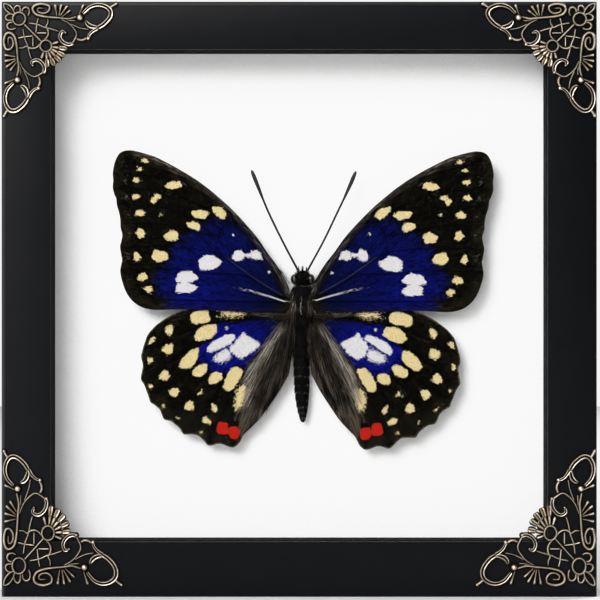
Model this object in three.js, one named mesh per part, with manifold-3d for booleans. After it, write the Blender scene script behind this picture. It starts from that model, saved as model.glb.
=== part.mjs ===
// A framed butterfly specimen: a square shadow box of four mitred rails with filigree corner
// castings, a pane, spacer strips, a card and a back board, and one butterfly glued to the card.
// Everything is drawn in front view: x to the right, y up, z out towards the viewer, in mm, with
// z = 0 at the middle of the frame's depth. The last lines turn it to stand on its bottom rail.

import * as THREE from "three";
import * as BufferGeometryUtils from "three/addons/utils/BufferGeometryUtils.js";
import Module from "manifold-3d";

// ---- driving dimensions, mm -------------------------------------------------------------------
const GAP = 0.3;                       // clearance kept between touching pieces
const FRAME_SIZE = 150;                // outside, square
const FRAME_DEPTH = 28;
const SIDE_RAIL = 12.4;                // rail widths seen from the front
const TOP_RAIL = 12.1;
const BOTTOM_RAIL = 13.9;
const WALL_SHARE = 0.6;                // how much of a rail's width is the wall behind the lip
const LIP_THICKNESS = 3;
const OUTER_CHAMFER = 0.5;
const INNER_CHAMFER = 0.25;
const MITRE_GAP = 0.2;

const GLASS_THICKNESS = 2;
const SPACER_DEPTH = 11.1;
const CARD_THICKNESS = 2;
const BOARD_THICKNESS = 3;
const TAB_SIZE = { across: 4, along: 9, thickness: 0.6 };
const HANGER = { width: 46, height: 9, thickness: 1, teeth: 7, drop: 14 };
const NAIL = { radius: 1.6, height: 0.8, out: 19 };

const CASTING_RELIEF = 1.3;            // height of the filigree strands over the rail
const BUTTERFLY = { x: 0.6, y: 74.8 }; // where its thorax sits in the frame
const WING_THICKNESS = 0.45;
const FOREWING_LEVEL = 1.55;           // z of the wings' undersides
const HINDWING_LEVEL = 0.8;

// ---- levels from front to back ----------------------------------------------------------------
const FRONT = FRAME_DEPTH / 2;
const GLASS_FRONT = FRONT - LIP_THICKNESS - GAP;
const SPACER_FRONT = GLASS_FRONT - GLASS_THICKNESS - GAP;
const CARD_FRONT = SPACER_FRONT - SPACER_DEPTH - GAP;
const BOARD_FRONT = CARD_FRONT - CARD_THICKNESS - GAP;
const BOARD_BACK = BOARD_FRONT - BOARD_THICKNESS;

// ---- materials --------------------------------------------------------------------------------
const finish = (color, roughness, metalness = 0) =>
  new THREE.MeshStandardMaterial({ color, roughness, metalness });
const blackPaint = () => finish(0x1b1c1e, 0.45);
const blackCard = () => finish(0x0b0b0b, 0.9);
const antiqueBrass = () => finish(0x8c7a5c, 0.4, 0.9);
const wingScales = () => finish(0x14120d, 0.85);
const hair = () => finish(0x181714, 0.9);

const frame = new THREE.Group();

function addPiece(name, geometry, material, parent = frame) {
  const piece = new THREE.Mesh(geometry, material);
  piece.name = name;
  parent.add(piece);
  return piece;
}

// ---- shape helpers ----------------------------------------------------------------------------
const points2 = (list) => list.map(([x, y]) => new THREE.Vector2(x, y));
const points3 = (list) => list.map(([x, y, z]) => new THREE.Vector3(x, y, z));

function plate(shape, thickness, curveSegments = 12) {
  return new THREE.ExtrudeGeometry(shape, {
    depth: thickness, bevelEnabled: false, curveSegments,
  });
}

function block(xLow, xHigh, yLow, yHigh, zLow, zHigh) {
  const box = new THREE.BoxGeometry(xHigh - xLow, yHigh - yLow, zHigh - zLow);
  return box.translate((xLow + xHigh) / 2, (yLow + yHigh) / 2, (zLow + zHigh) / 2);
}

// A closed skin over rings of points, all with the same count, each end closed by a fan.
function skin(rings) {
  const sides = rings[0].length;
  const positions = rings.flat().flatMap((p) => [p.x, p.y, p.z]);
  const middleOf = (ring) =>
    ring.reduce((sum, p) => sum.add(p), new THREE.Vector3()).divideScalar(sides);
  const last = (rings.length - 1) * sides;
  const ends = [middleOf(rings[0]), middleOf(rings[rings.length - 1])];
  ends.forEach((p) => positions.push(p.x, p.y, p.z));
  const startMiddle = rings.length * sides;
  const faces = [];
  for (let side = 0; side < sides; side += 1) {
    const next = (side + 1) % sides;
    faces.push(startMiddle, next, side, startMiddle + 1, last + side, last + next);
    for (let row = 0; row < last; row += sides) {
      faces.push(row + side, row + next, row + sides + next);
      faces.push(row + side, row + sides + next, row + sides + side);
    }
  }
  const geometry = new THREE.BufferGeometry();
  geometry.setAttribute("position", new THREE.Float32BufferAttribute(positions, 3));
  geometry.setIndex(faces);
  return geometry;
}

// A round limb along a smooth curve through the points, with its radius given at each point.
function limb(path, radii, steps, sides = 6) {
  const curve = new THREE.CatmullRomCurve3(points3(path));
  const { normals, binormals } = curve.computeFrenetFrames(steps, false);
  const rings = [];
  for (let step = 0; step <= steps; step += 1) {
    const along = (step / steps) * (radii.length - 1);
    const before = Math.min(Math.floor(along), radii.length - 2);
    const radius = THREE.MathUtils.lerp(radii[before], radii[before + 1], along - before);
    const centre = curve.getPoint(step / steps);
    rings.push(Array.from({ length: sides }, (_, side) => {
      const angle = (2 * Math.PI * side) / sides;
      return centre.clone()
        .addScaledVector(normals[step], radius * Math.cos(angle))
        .addScaledVector(binormals[step], radius * Math.sin(angle));
    }));
  }
  return skin(rings);
}

// ---- joining and cutting ----------------------------------------------------------------------
const wasm = await Module();
wasm.setup();

function toSolid(geometry) {
  const bare = geometry.clone();
  bare.deleteAttribute("normal");
  bare.deleteAttribute("uv");
  const merged = BufferGeometryUtils.mergeVertices(bare, 1e-5);
  const corners = merged.index.array;
  const triVerts = [];
  for (let first = 0; first < corners.length; first += 3) {
    const [a, b, c] = corners.slice(first, first + 3);
    // a turned profile leaves faces of no area on its axis
    if (a !== b && b !== c && c !== a) triVerts.push(a, b, c);
  }
  return new wasm.Manifold(new wasm.Mesh({
    numProp: 3,
    vertProperties: new Float32Array(merged.attributes.position.array),
    triVerts: new Uint32Array(triVerts),
  }));
}

function toGeometry(solid) {
  const mesh = solid.getMesh();
  const geometry = new THREE.BufferGeometry();
  geometry.setAttribute("position", new THREE.BufferAttribute(mesh.vertProperties, 3));
  geometry.setIndex(new THREE.BufferAttribute(mesh.triVerts, 1));
  return geometry;
}

const SMALLEST_STEP = 0.02;            // shorter edges left by a join are taken out
const joined = (geometries) => toGeometry(
  geometries.map(toSolid).reduce((whole, piece) => whole.add(piece)).simplify(SMALLEST_STEP),
);

// ---- rails ------------------------------------------------------------------------------------
// One moulding for all four: a wall with a front lip. Its profile is given in shares of the
// rail's width, from the outside inwards, so that rails of unlike width still meet at the mitre.
const RAIL_PROFILE = [
  [0, -FRONT], [0, FRONT - OUTER_CHAMFER], [OUTER_CHAMFER / SIDE_RAIL, FRONT],
  [1 - INNER_CHAMFER / SIDE_RAIL, FRONT], [1, FRONT - INNER_CHAMFER], [1, FRONT - LIP_THICKNESS],
  [WALL_SHARE, FRONT - LIP_THICKNESS], [WALL_SHARE, -FRONT],
];

// The rail lies along x with its outside at y = 0 and its window edge at y = -width.
function railGeometry(width, startNeighbour, endNeighbour) {
  const half = FRAME_SIZE / 2 - MITRE_GAP / 2;
  const start = RAIL_PROFILE.map(([share, z]) =>
    new THREE.Vector3(-half + share * startNeighbour, -share * width, z));
  const end = RAIL_PROFILE.map(([share, z]) =>
    new THREE.Vector3(half - share * endNeighbour, -share * width, z));
  const count = RAIL_PROFILE.length;
  const faces = [];
  for (let side = 0; side < count; side += 1) {
    const next = (side + 1) % count;
    faces.push(side, count + next, count + side, side, next, count + next);
  }
  const cap = THREE.ShapeUtils.triangulateShape(points2(RAIL_PROFILE), []);
  for (const [a, b, c] of cap) {
    faces.push(a, b, c, count + a, count + c, count + b);
  }
  const geometry = new THREE.BufferGeometry();
  const positions = [...start, ...end].flatMap((p) => [p.x, p.y, p.z]);
  geometry.setAttribute("position", new THREE.Float32BufferAttribute(positions, 3));
  geometry.setIndex(faces);
  return geometry;
}

const MIDDLE = FRAME_SIZE / 2;
const RAILS = [
  // name, width, neighbour at the start and end of its length, turn, middle of its outside
  ["rail_top", TOP_RAIL, SIDE_RAIL, SIDE_RAIL, 0, [0, FRAME_SIZE]],
  ["rail_left", SIDE_RAIL, BOTTOM_RAIL, TOP_RAIL, Math.PI / 2, [-MIDDLE, MIDDLE]],
  ["rail_bottom", BOTTOM_RAIL, SIDE_RAIL, SIDE_RAIL, Math.PI, [0, 0]],
  ["rail_right", SIDE_RAIL, TOP_RAIL, BOTTOM_RAIL, -Math.PI / 2, [MIDDLE, MIDDLE]],
];
for (const [name, width, startNeighbour, endNeighbour, turn, [x, y]] of RAILS) {
  const rail = addPiece(name, railGeometry(width, startNeighbour, endNeighbour), blackPaint());
  rail.rotation.z = turn;
  rail.position.set(x, y, 0);
}

// ---- pane, spacers, card and board, all held in the rabbet ------------------------------------
const RABBET = {
  left: -MIDDLE + WALL_SHARE * SIDE_RAIL + GAP,
  right: MIDDLE - WALL_SHARE * SIDE_RAIL - GAP,
  bottom: WALL_SHARE * BOTTOM_RAIL + GAP,
  top: FRAME_SIZE - WALL_SHARE * TOP_RAIL - GAP,
};
const WINDOW = {
  left: -MIDDLE + SIDE_RAIL,
  right: MIDDLE - SIDE_RAIL,
  bottom: BOTTOM_RAIL,
  top: FRAME_SIZE - TOP_RAIL,
};
const sheet = (zBack, thickness) =>
  block(RABBET.left, RABBET.right, RABBET.bottom, RABBET.top, zBack, zBack + thickness);

addPiece("glass_pane", sheet(GLASS_FRONT - GLASS_THICKNESS, GLASS_THICKNESS), finish(0xf4f8f8, 0.03));
addPiece("mount_card", sheet(CARD_FRONT - CARD_THICKNESS, CARD_THICKNESS), finish(0xf7f7f7, 0.9));
addPiece("back_board", sheet(BOARD_BACK, BOARD_THICKNESS), finish(0x7a5636, 0.8));

const SPACER_BACK = SPACER_FRONT - SPACER_DEPTH;
const SPACERS = [
  ["spacer_top", RABBET.left, RABBET.right, WINDOW.top, RABBET.top],
  ["spacer_bottom", RABBET.left, RABBET.right, RABBET.bottom, WINDOW.bottom],
  ["spacer_left", RABBET.left, WINDOW.left, WINDOW.bottom + GAP, WINDOW.top - GAP],
  ["spacer_right", WINDOW.right, RABBET.right, WINDOW.bottom + GAP, WINDOW.top - GAP],
];
for (const [name, xLow, xHigh, yLow, yHigh] of SPACERS) {
  addPiece(name, block(xLow, xHigh, yLow, yHigh, SPACER_BACK, SPACER_FRONT), blackCard());
}

// ---- retaining points and hanger on the back --------------------------------------------------
const TAB_LEVEL = BOARD_BACK - GAP;
const TAB_OFFSET = 32;                 // from the middle of each side
const tabGeometry = () => {
  const { across, along, thickness } = TAB_SIZE;
  return block(-across / 2, across / 2, 0, along, TAB_LEVEL - thickness, TAB_LEVEL);
};
const BOARD_MIDDLE = (RABBET.top + RABBET.bottom) / 2;
const TAB_ROWS = [
  ["top", Math.PI, (along) => [along, RABBET.top]],
  ["bottom", 0, (along) => [along, RABBET.bottom]],
  ["left", -Math.PI / 2, (along) => [RABBET.left, BOARD_MIDDLE + along]],
  ["right", Math.PI / 2, (along) => [RABBET.right, BOARD_MIDDLE + along]],
];
for (const [side, turn, place] of TAB_ROWS) {
  [-TAB_OFFSET, TAB_OFFSET].forEach((along, index) => {
    const tab = addPiece(`tab_${side}_${index + 1}`, tabGeometry(), finish(0x9a9c9e, 0.35, 1));
    const [x, y] = place(along);
    tab.rotation.z = turn;
    tab.position.set(x, y, 0);
  });
}

// A flat strip with round ends, its lower edge cut into teeth that catch a nail.
function hangerShape() {
  const { width, height, teeth } = HANGER;
  const toothPitch = (width * 0.5) / teeth;
  const toothHeight = 1.6;
  const shape = new THREE.Shape();
  const half = width / 2;
  shape.moveTo(-half + height / 2, 0);
  const first = -toothPitch * teeth * 0.5;
  shape.lineTo(first, 0);
  for (let tooth = 0; tooth < teeth; tooth += 1) {
    const x = first + tooth * toothPitch;
    shape.lineTo(x + toothPitch / 2, toothHeight);
    shape.lineTo(x + toothPitch, 0);
  }
  shape.lineTo(half - height / 2, 0);
  shape.absarc(half - height / 2, height / 2, height / 2, -Math.PI / 2, Math.PI / 2);
  shape.absarc(-half + height / 2, height / 2, height / 2, Math.PI / 2, 1.5 * Math.PI);
  return shape;
}
const HANGER_BOTTOM = RABBET.top - HANGER.drop - HANGER.height;
const HANGER_BACK = BOARD_BACK - GAP - HANGER.thickness;
const hanger = addPiece("hanger", plate(hangerShape(), HANGER.thickness, 5), finish(0xb08d4a, 0.35, 1));
hanger.position.set(0, HANGER_BOTTOM, HANGER_BACK);

for (const [name, side] of [["hanger_nail_left", -1], ["hanger_nail_right", 1]]) {
  const head = new THREE.LatheGeometry(points2([
    [0, -NAIL.height], [NAIL.radius * 0.7, -NAIL.height], [NAIL.radius, 0], [0, 0],
  ]), 10);
  head.rotateX(Math.PI / 2);
  const nail = addPiece(name, head, finish(0xb08d4a, 0.35, 1));
  nail.position.set(side * NAIL.out, HANGER_BOTTOM + HANGER.height / 2, HANGER_BACK - GAP);
}

// ---- filigree corner casting ------------------------------------------------------------------
// Drawn at the outside corner, one arm running along +x and the other down along -y. Strands are
// given for the arm along x as (along, inward) and repeated for the other arm by swapping the two.
const CASTING = {
  flower: { at: [4.5, 4.5], radius: 1.55, strand: 0.45 },
  shell: { at: [11.35, 11.35], radius: 1.45, strand: 0.42 },
};
// Where the outside corner, the flower, the shell, the bead and the finial come along an arm. The
// bottom castings are longer, reach further up the side rails and stand in from the bottom edge.
const LANDMARKS = [0, 4.5, 11.35, 19.9, 29];
const LANDMARKS_ACROSS_BOTTOM = [0, 4.5, 11.9, 21.0, 30.4];
const LANDMARKS_UP_SIDE = [2.2, 8.0, 16.2, 27.4, 36.9];

function refitted(distance, landmarks) {
  let next = 1;
  while (next < LANDMARKS.length - 1 && LANDMARKS[next] < distance) next += 1;
  const share = (distance - LANDMARKS[next - 1]) / (LANDMARKS[next] - LANDMARKS[next - 1]);
  return THREE.MathUtils.lerp(landmarks[next - 1], landmarks[next], share);
}

// A flat strand of varying width through its points; a closed one has no ends.
function strand(route, widths, closed = false) {
  const count = route.length;
  const widthAt = (index) => (Array.isArray(widths) ? widths[index] : widths);
  const sides = route.map(([x, y], index) => {
    const before = route[closed ? (index + count - 1) % count : Math.max(index - 1, 0)];
    const after = route[closed ? (index + 1) % count : Math.min(index + 1, count - 1)];
    const along = new THREE.Vector2(after[0] - before[0], after[1] - before[1]).normalize();
    const reach = widthAt(index) / 2;
    return [[x - along.y * reach, y + along.x * reach], [x + along.y * reach, y - along.x * reach]];
  });
  const one = sides.map((pair) => pair[0]);
  const other = sides.map((pair) => pair[1]);
  const toFront = (list) => points2(list.map(([along, inward]) => [along, -inward]));
  if (!closed) return plate(new THREE.Shape(toFront([...one, ...other.reverse()])), CASTING_RELIEF);
  const areaOf = (list) => Math.abs(THREE.ShapeUtils.area(points2(list)));
  const [outside, inside] = areaOf(one) > areaOf(other) ? [one, other] : [other, one];
  const shape = new THREE.Shape(toFront(outside));
  shape.holes.push(new THREE.Path(toFront(inside.reverse())));
  return plate(shape, CASTING_RELIEF);
}

function ringRoute({ at: [x, y], radius }, sides = 8) {
  return Array.from({ length: sides }, (_, side) => {
    const angle = (2 * Math.PI * (side + 0.5)) / sides;
    return [x + radius * Math.cos(angle), y + radius * Math.sin(angle)];
  });
}

function dome([along, inward], radius, sides = 7) {
  const rise = CASTING_RELIEF * 1.25;
  const profile = [[0, 0], [radius, 0], [radius * 0.6, rise], [0, rise]];
  const geometry = new THREE.LatheGeometry(points2(profile), sides);
  geometry.rotateX(Math.PI / 2);
  return geometry.translate(along, -inward, 0);
}

const ARM_STRANDS = [
  // petals beside the flower
  [[[3.4, 3.2], [3.4, 1.3], [4.7, 1.3], [4.9, 3.1]], 0.4],
  [[[5.7, 3.4], [5.8, 1.6], [7.3, 1.9], [7.0, 3.9]], 0.4],
  // scroll, and the stem that it grows from
  [[[7.2, 2.6], [8.4, 0.9], [11.6, 0.8], [12.1, 2.4], [9.6, 2.9], [9.9, 1.6]], 0.5],
  [[[7.4, 2.4], [8.6, 3.6], [16.6, 4.2], [19.4, 4.0]], 0.5],
  // the band round the teardrop, and its pointed finial
  [[[19.5, 4.2], [21.5, 1.7], [24.3, 0.8], [27.2, 1.2], [28.0, 3.0], [26.6, 5.6], [23.2, 7.6]],
    [0.5, 0.75, 0.95, 1.0, 1.0, 0.95, 0.6]],
  [[[27.0, 2.1], [28.9, 0.6]], [0.9, 0.6]],
  [[[24.6, 6.9], [22.0, 6.0], [21.3, 4.7]], [0.5, 0.9, 0.2]],
  // border that runs back from the teardrop to the scroll beside the shell
  [[[24.0, 7.2], [21.6, 9.1], [17.8, 9.9]], [0.7, 0.9, 0.7]],
  [[[16.7, 7.7], [15.1, 7.8], [14.7, 9.5], [16.3, 10.8], [18.0, 10.3]], [0.6, 0.75, 0.8, 0.8, 0.6]],
  // lattice between the flower and the shell
  [[[5.8, 5.4], [11.4, 6.6], [14.9, 8.6]], 0.4],
  [[[11.7, 6.4], [11.4, 10.2]], 0.35],
];
// club-shaped leaflets that stand on the stem: root and tip
const LEAFLETS = [
  [[13.9, 4.1], [13.6, 0.7]], [[14.9, 4.1], [15.2, 0.7]], [[15.4, 4.1], [17.1, 1.5]],
  [[19.6, 4.0], [20.7, 0.7]],
];
const BEADS = [{ at: [19.9, 4.2], radius: 0.95 }];
const SHELL_RAYS = 7;
const SHELL_TURN = THREE.MathUtils.degToRad(19.5);  // between one ray and the next
const SHELL_REACH = 4.8;

// One casting, with its landmarks along the arm on +x and along the other arm.
function castingGeometry(landmarksOnX, landmarksOnY) {
  const fit = ([along, inward]) => [refitted(along, landmarksOnX), refitted(inward, landmarksOnY)];
  const swap = ([along, inward]) => [inward, along];
  const pieces = [
    strand(ringRoute(CASTING.flower).map(fit), CASTING.flower.strand, true),
    strand(ringRoute(CASTING.shell).map(fit), CASTING.shell.strand, true),
  ];
  const armStrands = [...ARM_STRANDS, ...LEAFLETS.map((leaflet) => [leaflet, [0.35, 0.8]])];
  for (const [route, widths] of armStrands) {
    pieces.push(strand(route.map(fit), widths));
    pieces.push(strand(route.map(swap).map(fit), widths));
  }
  for (const { at, radius } of BEADS) {
    pieces.push(dome(fit(at), radius), dome(fit(swap(at)), radius));
  }
  // the leaf at the very corner and the bar on the diagonal
  pieces.push(strand([[3.7, 3.7], [2.2, 2.2], [0.7, 0.7]].map(fit), [1.0, 1.5, 0.7]));
  pieces.push(strand([[5.5, 5.5], [10.4, 10.4]].map(fit), 0.4));
  for (let ray = 0; ray < SHELL_RAYS; ray += 1) {
    const angle = Math.PI / 4 + (ray - (SHELL_RAYS - 1) / 2) * SHELL_TURN;
    const [x, y] = CASTING.shell.at;
    const reach = SHELL_REACH - 0.12 * Math.abs(ray - (SHELL_RAYS - 1) / 2);
    const at = (distance) => [x + distance * Math.cos(angle), y + distance * Math.sin(angle)];
    pieces.push(strand([at(CASTING.shell.radius), at(reach)].map(fit), [0.3, 1.0]));
  }
  return joined(pieces);
}

const topCasting = castingGeometry(LANDMARKS, LANDMARKS);
const rightCasting = castingGeometry(LANDMARKS_ACROSS_BOTTOM, LANDMARKS_UP_SIDE);
const leftCasting = castingGeometry(LANDMARKS_UP_SIDE, LANDMARKS_ACROSS_BOTTOM);
const CORNERS = [
  // name, casting, turn, outside corner
  ["corner_top_left", topCasting, 0, [-MIDDLE, FRAME_SIZE]],
  ["corner_top_right", topCasting, -Math.PI / 2, [MIDDLE, FRAME_SIZE]],
  ["corner_bottom_right", rightCasting, Math.PI, [MIDDLE, 0]],
  ["corner_bottom_left", leftCasting, Math.PI / 2, [-MIDDLE, 0]],
];
for (const [name, casting, turn, [x, y]] of CORNERS) {
  const corner = addPiece(name, casting, antiqueBrass());
  corner.rotation.z = turn;
  corner.position.set(x, y, FRONT + GAP);
}

// ---- butterfly --------------------------------------------------------------------------------
const butterfly = new THREE.Group();
butterfly.position.set(BUTTERFLY.x, BUTTERFLY.y, 0);
frame.add(butterfly);

// Outlines of the right wings, from the root along the front edge and round to the root.
const FOREWING_FRONT = [
  [3.7, 4.6], [6.0, 9.2], [10.9, 15.8], [16.3, 21.7], [22.6, 27.3], [27.6, 30.9], [35.3, 35.1],
  [40.5, 37.1], [44.5, 37.9],
];
const FOREWING_EDGE = [
  [47.4, 37.0], [48.7, 34.0], [49.0, 31.8], [48.8, 28.8], [47.9, 25.3], [47.0, 21.4], [46.6, 17.9],
  [46.1, 16.0], [46.6, 12.9], [46.0, 9.5], [46.4, 6.8], [45.3, 2.5], [43.1, -0.9], [39.2, -2.9],
];
const FOREWING_BACK = [[32.8, -2.9], [20.0, -2.9], [8.0, -2.9], [3.7, -2.4]];
const HINDWING_FRONT = [[3.6, 0.6], [14.0, 1.0], [24.0, -0.4], [29.0, -2.6], [33.6, -4.9]];
const HINDWING_EDGE = [
  [37.3, -7.7], [39.6, -11.4], [40.6, -15.6], [40.1, -17.6], [40.4, -21.2], [38.9, -24.6],
  [37.8, -27.3], [35.3, -29.2], [34.1, -31.6], [31.1, -32.9], [29.0, -35.2], [25.3, -35.5],
  [22.4, -38.0], [18.7, -37.6], [16.1, -38.2], [14.2, -36.0],
];
const HINDWING_INNER = [[12.4, -33.6], [7.2, -27.1], [3.4, -20.7], [2.6, -14.0], [2.9, -7.0], [3.6, -3.5]];

const FOREWING = [...FOREWING_FRONT, ...FOREWING_EDGE, ...FOREWING_BACK];
const HINDWING = [...HINDWING_FRONT, ...HINDWING_EDGE, ...HINDWING_INNER];

function wingGeometry(outline, side) {
  const [root, ...rest] = points2(outline.map(([x, y]) => [side * x, y]));
  const shape = new THREE.Shape();
  shape.moveTo(root.x, root.y);
  shape.splineThru(rest);
  return plate(shape, WING_THICKNESS, 2);
}

// The left wings are set a little flatter and lower than the right ones, as by hand.
const WING_DIHEDRAL = THREE.MathUtils.degToRad(1.2);
const WINGS = [
  // name, outline, side, level, shift in x and y, turn in the card's plane, size
  ["forewing_right", FOREWING, 1, FOREWING_LEVEL, [0, 0], 0, 1],
  ["hindwing_right", HINDWING, 1, HINDWING_LEVEL, [0, 0], 0, 1],
  ["forewing_left", FOREWING, -1, FOREWING_LEVEL, [-0.6, -0.4], -1.5, 0.988],
  ["hindwing_left", HINDWING, -1, HINDWING_LEVEL, [-0.15, -0.2], -1.8, 0.994],
];
for (const [name, outline, side, level, [x, y], turn, size] of WINGS) {
  const wing = addPiece(name, wingGeometry(outline, side), wingScales(), butterfly);
  wing.position.set(x, y, level);
  wing.rotation.set(0, -side * WING_DIHEDRAL, THREE.MathUtils.degToRad(turn));
  wing.scale.set(size, size, 1);
}

// The body is one skin over stations from the face to the tip of the abdomen:
// height, middle, half width, front and back of the section.
const BODY_SIDES = 8;
const HEAD_AND_THORAX = [
  [7.4, 0.3, 0.8, 1.0, -0.5], [6.7, 0.3, 1.7, 1.6, -1.2], [5.4, 0.3, 2.1, 2.0, -1.6],
  [4.0, 0.3, 1.8, 1.9, -1.4], [3.2, 0.3, 1.4, 1.6, -1.0], [2.5, 0.2, 2.2, 2.3, -1.8],
  [1.0, 0.1, 3.0, 3.0, -2.5], [-1.2, 0.05, 3.2, 3.3, -2.7], [-3.4, 0, 3.0, 3.0, -2.6],
  [-5.0, 0, 2.3, 2.4, -2.1], [-5.8, 0, 1.6, 1.6, -1.5],
];
const ABDOMEN_TOP = -5.8;
const ABDOMEN_RINGS = [
  // lower end of the ring, middle, half width
  [-8.6, 0, 1.95], [-11.8, 0, 2.1], [-15.2, 0, 2.15], [-18.6, 0, 2.12], [-22.0, 0.05, 2.0],
  [-25.2, 0.12, 1.75], [-28.0, 0.2, 1.35], [-30.2, 0.28, 0.8],
];
const ABDOMEN_TIP = [-31.3, 0.3, 0.3];

function bodyGeometry() {
  const stations = [...HEAD_AND_THORAX];
  let top = ABDOMEN_TOP;
  for (const [bottom, middle, half] of ABDOMEN_RINGS) {
    // each ring laps over the next, so it is fullest near its lower end
    for (const [share, fullness] of [[0.15, 0.93], [0.85, 1]]) {
      const height = THREE.MathUtils.lerp(top, bottom, share);
      stations.push([height, middle, half * fullness, half * fullness - 0.5, -half * fullness - 0.5]);
    }
    top = bottom;
  }
  const [tipHeight, tipMiddle, tipHalf] = ABDOMEN_TIP;
  stations.push([tipHeight, tipMiddle, tipHalf, tipHalf - 0.6, -tipHalf - 0.6]);
  return skin(stations.map(([height, middle, half, front, back]) =>
    Array.from({ length: BODY_SIDES }, (_, side) => {
      const angle = (2 * Math.PI * (side + 0.5)) / BODY_SIDES;
      const depth = (front + back) / 2 + ((front - back) / 2) * Math.sin(angle);
      return new THREE.Vector3(middle + half * Math.cos(angle), height, depth);
    })));
}

const EYES = [
  { name: "eye_left", at: [-1.75, 5.35, 0.55] },
  { name: "eye_right", at: [2.35, 5.35, 0.55] },
];
const EYE_HALF = { across: 1.05, along: 1.4, deep: 1.3 };
const eyeball = (room) => {
  const ball = new THREE.SphereGeometry(1, 8, 6);
  return ball.scale(EYE_HALF.across + room, EYE_HALF.along + room, EYE_HALF.deep + room);
};
const PALP_ROOT = 6.8;
const PALPS = [[-0.6, 8.6], [0.3, 8.7], [1.1, 8.6]];

function bodySolid() {
  let body = toSolid(bodyGeometry());
  for (const [x, tip] of PALPS) {
    body = body.add(toSolid(limb([[x, PALP_ROOT, 0.2], [x, tip, 0.5]], [0.42, 0.12], 2)));
  }
  for (const { at } of EYES) {
    body = body.subtract(toSolid(eyeball(GAP / 2).translate(...at)));
  }
  return body;
}
addPiece("body", toGeometry(bodySolid()), hair(), butterfly);
for (const { name, at } of EYES) {
  addPiece(name, eyeball(0), finish(0x0d0b0a, 0.15), butterfly).position.set(...at);
}

// Antennae: a thin shaft that thickens into a club. The left one leans out a little more.
const ANTENNAE = [
  ["antenna_left", [[-1.1, 7.9, 1.3], [-4.6, 14.5, 1.7], [-8.4, 22.3, 2.0], [-10.9, 28.2, 2.2],
    [-12.8, 33.2, 2.3]]],
  ["antenna_right", [[1.75, 7.9, 1.3], [5.7, 15.2, 1.7], [9.3, 22.7, 2.0], [11.8, 28.2, 2.2],
    [13.9, 32.9, 2.3]]],
];
for (const [name, path] of ANTENNAE) {
  const geometry = limb(path, [0.18, 0.17, 0.17, 0.3, 0.36], 9, 5);
  addPiece(name, geometry, finish(0x17120c, 0.6), butterfly);
}

// Legs folded between the wings and the card, given for the right side: hip, knee, heel and toe.
const LEGS = [
  ["mid", [[3.6, 0.6, -1.3], [7.2, 3.0, -1.5], [5.6, -2.6, -2.0], [4.7, -7.0, -2.3]]],
  ["hind", [[3.5, -2.2, -1.4], [8.8, -3.2, -1.6], [6.4, -8.6, -2.1], [5.0, -13.4, -2.3]]],
];
for (const [side, sign] of [["left", -1], ["right", 1]]) {
  for (const [pair, path] of LEGS) {
    const placed = path.map(([x, y, z]) => [sign * x, y, z]);
    addPiece(`leg_${pair}_${side}`, limb(placed, [0.34, 0.28, 0.2, 0.14], 6, 4), hair(), butterfly);
  }
}

// ---- stand it up: front view y becomes height, and z out becomes -Y ---------------------------
frame.rotation.x = Math.PI / 2;
export default frame;
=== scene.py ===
import math

import bpy
import numpy as np
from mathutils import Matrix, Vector
from mathutils.geometry import delaunay_2d_cdt


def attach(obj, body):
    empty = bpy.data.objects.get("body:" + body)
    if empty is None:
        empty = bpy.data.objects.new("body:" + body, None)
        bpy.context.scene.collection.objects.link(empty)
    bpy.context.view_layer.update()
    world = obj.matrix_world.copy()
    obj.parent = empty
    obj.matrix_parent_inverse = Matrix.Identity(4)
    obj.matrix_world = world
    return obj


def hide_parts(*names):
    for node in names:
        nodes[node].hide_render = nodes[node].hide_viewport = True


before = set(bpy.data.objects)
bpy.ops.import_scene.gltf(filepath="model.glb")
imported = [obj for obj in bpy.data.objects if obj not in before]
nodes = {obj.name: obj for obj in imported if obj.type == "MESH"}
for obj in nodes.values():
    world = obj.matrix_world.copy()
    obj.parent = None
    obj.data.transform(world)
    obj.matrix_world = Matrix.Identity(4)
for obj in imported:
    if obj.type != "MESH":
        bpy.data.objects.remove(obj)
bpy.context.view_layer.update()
scene = bpy.context.scene

# ---- Camera ------------------------------------------------------------------------------------
# A long lens stands straight in front of the middle of the glass, far enough away that the
# inside walls of the box show only as a thin dark band.
CAMERA_PLACE = (0.0002, -0.914, 0.0748)
CAMERA_SENSOR = 36
CAMERA_LENS = 214.4
camera_lens = bpy.data.cameras.new("camera")
camera_lens.sensor_width = CAMERA_SENSOR
camera_lens.lens = CAMERA_LENS
camera = bpy.data.objects.new("camera", camera_lens)
camera.location = CAMERA_PLACE
camera.rotation_euler = (math.pi / 2, 0, 0)
scene.collection.objects.link(camera)
scene.camera = camera


# ---- Floor -------------------------------------------------------------------------------------
# A pale matt table top, covered with heavy paper, that the frame stands on. It lies flat and
# reaches far past the frame on every side.
MM = 0.001


class Wire:
    """One socket of a material, so that sums on it are written as sums."""

    def __init__(self, finish, socket):
        self.finish = finish
        self.socket = socket

    def sum(self, operation, first, second):
        return self.finish.add("ShaderNodeMath", {"operation": operation}, {0: first, 1: second})

    def __add__(self, other):
        return self.sum("ADD", self, other)

    def __radd__(self, other):
        return self.sum("ADD", other, self)

    def __sub__(self, other):
        return self.sum("SUBTRACT", self, other)

    def __rsub__(self, other):
        return self.sum("SUBTRACT", other, self)

    def __mul__(self, other):
        return self.sum("MULTIPLY", self, other)

    def __rmul__(self, other):
        return self.sum("MULTIPLY", other, self)

    def __pow__(self, other):
        return self.sum("POWER", self, other)

    def least(self, other):
        return self.sum("MINIMUM", self, other)

    def most(self, other):
        return self.sum("MAXIMUM", self, other)

    def held(self):
        """The value kept between 0 and 1."""
        settings = {"operation": "MAXIMUM", "use_clamp": True}
        return self.finish.add("ShaderNodeMath", settings, {0: self, 1: 0.0})


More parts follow.
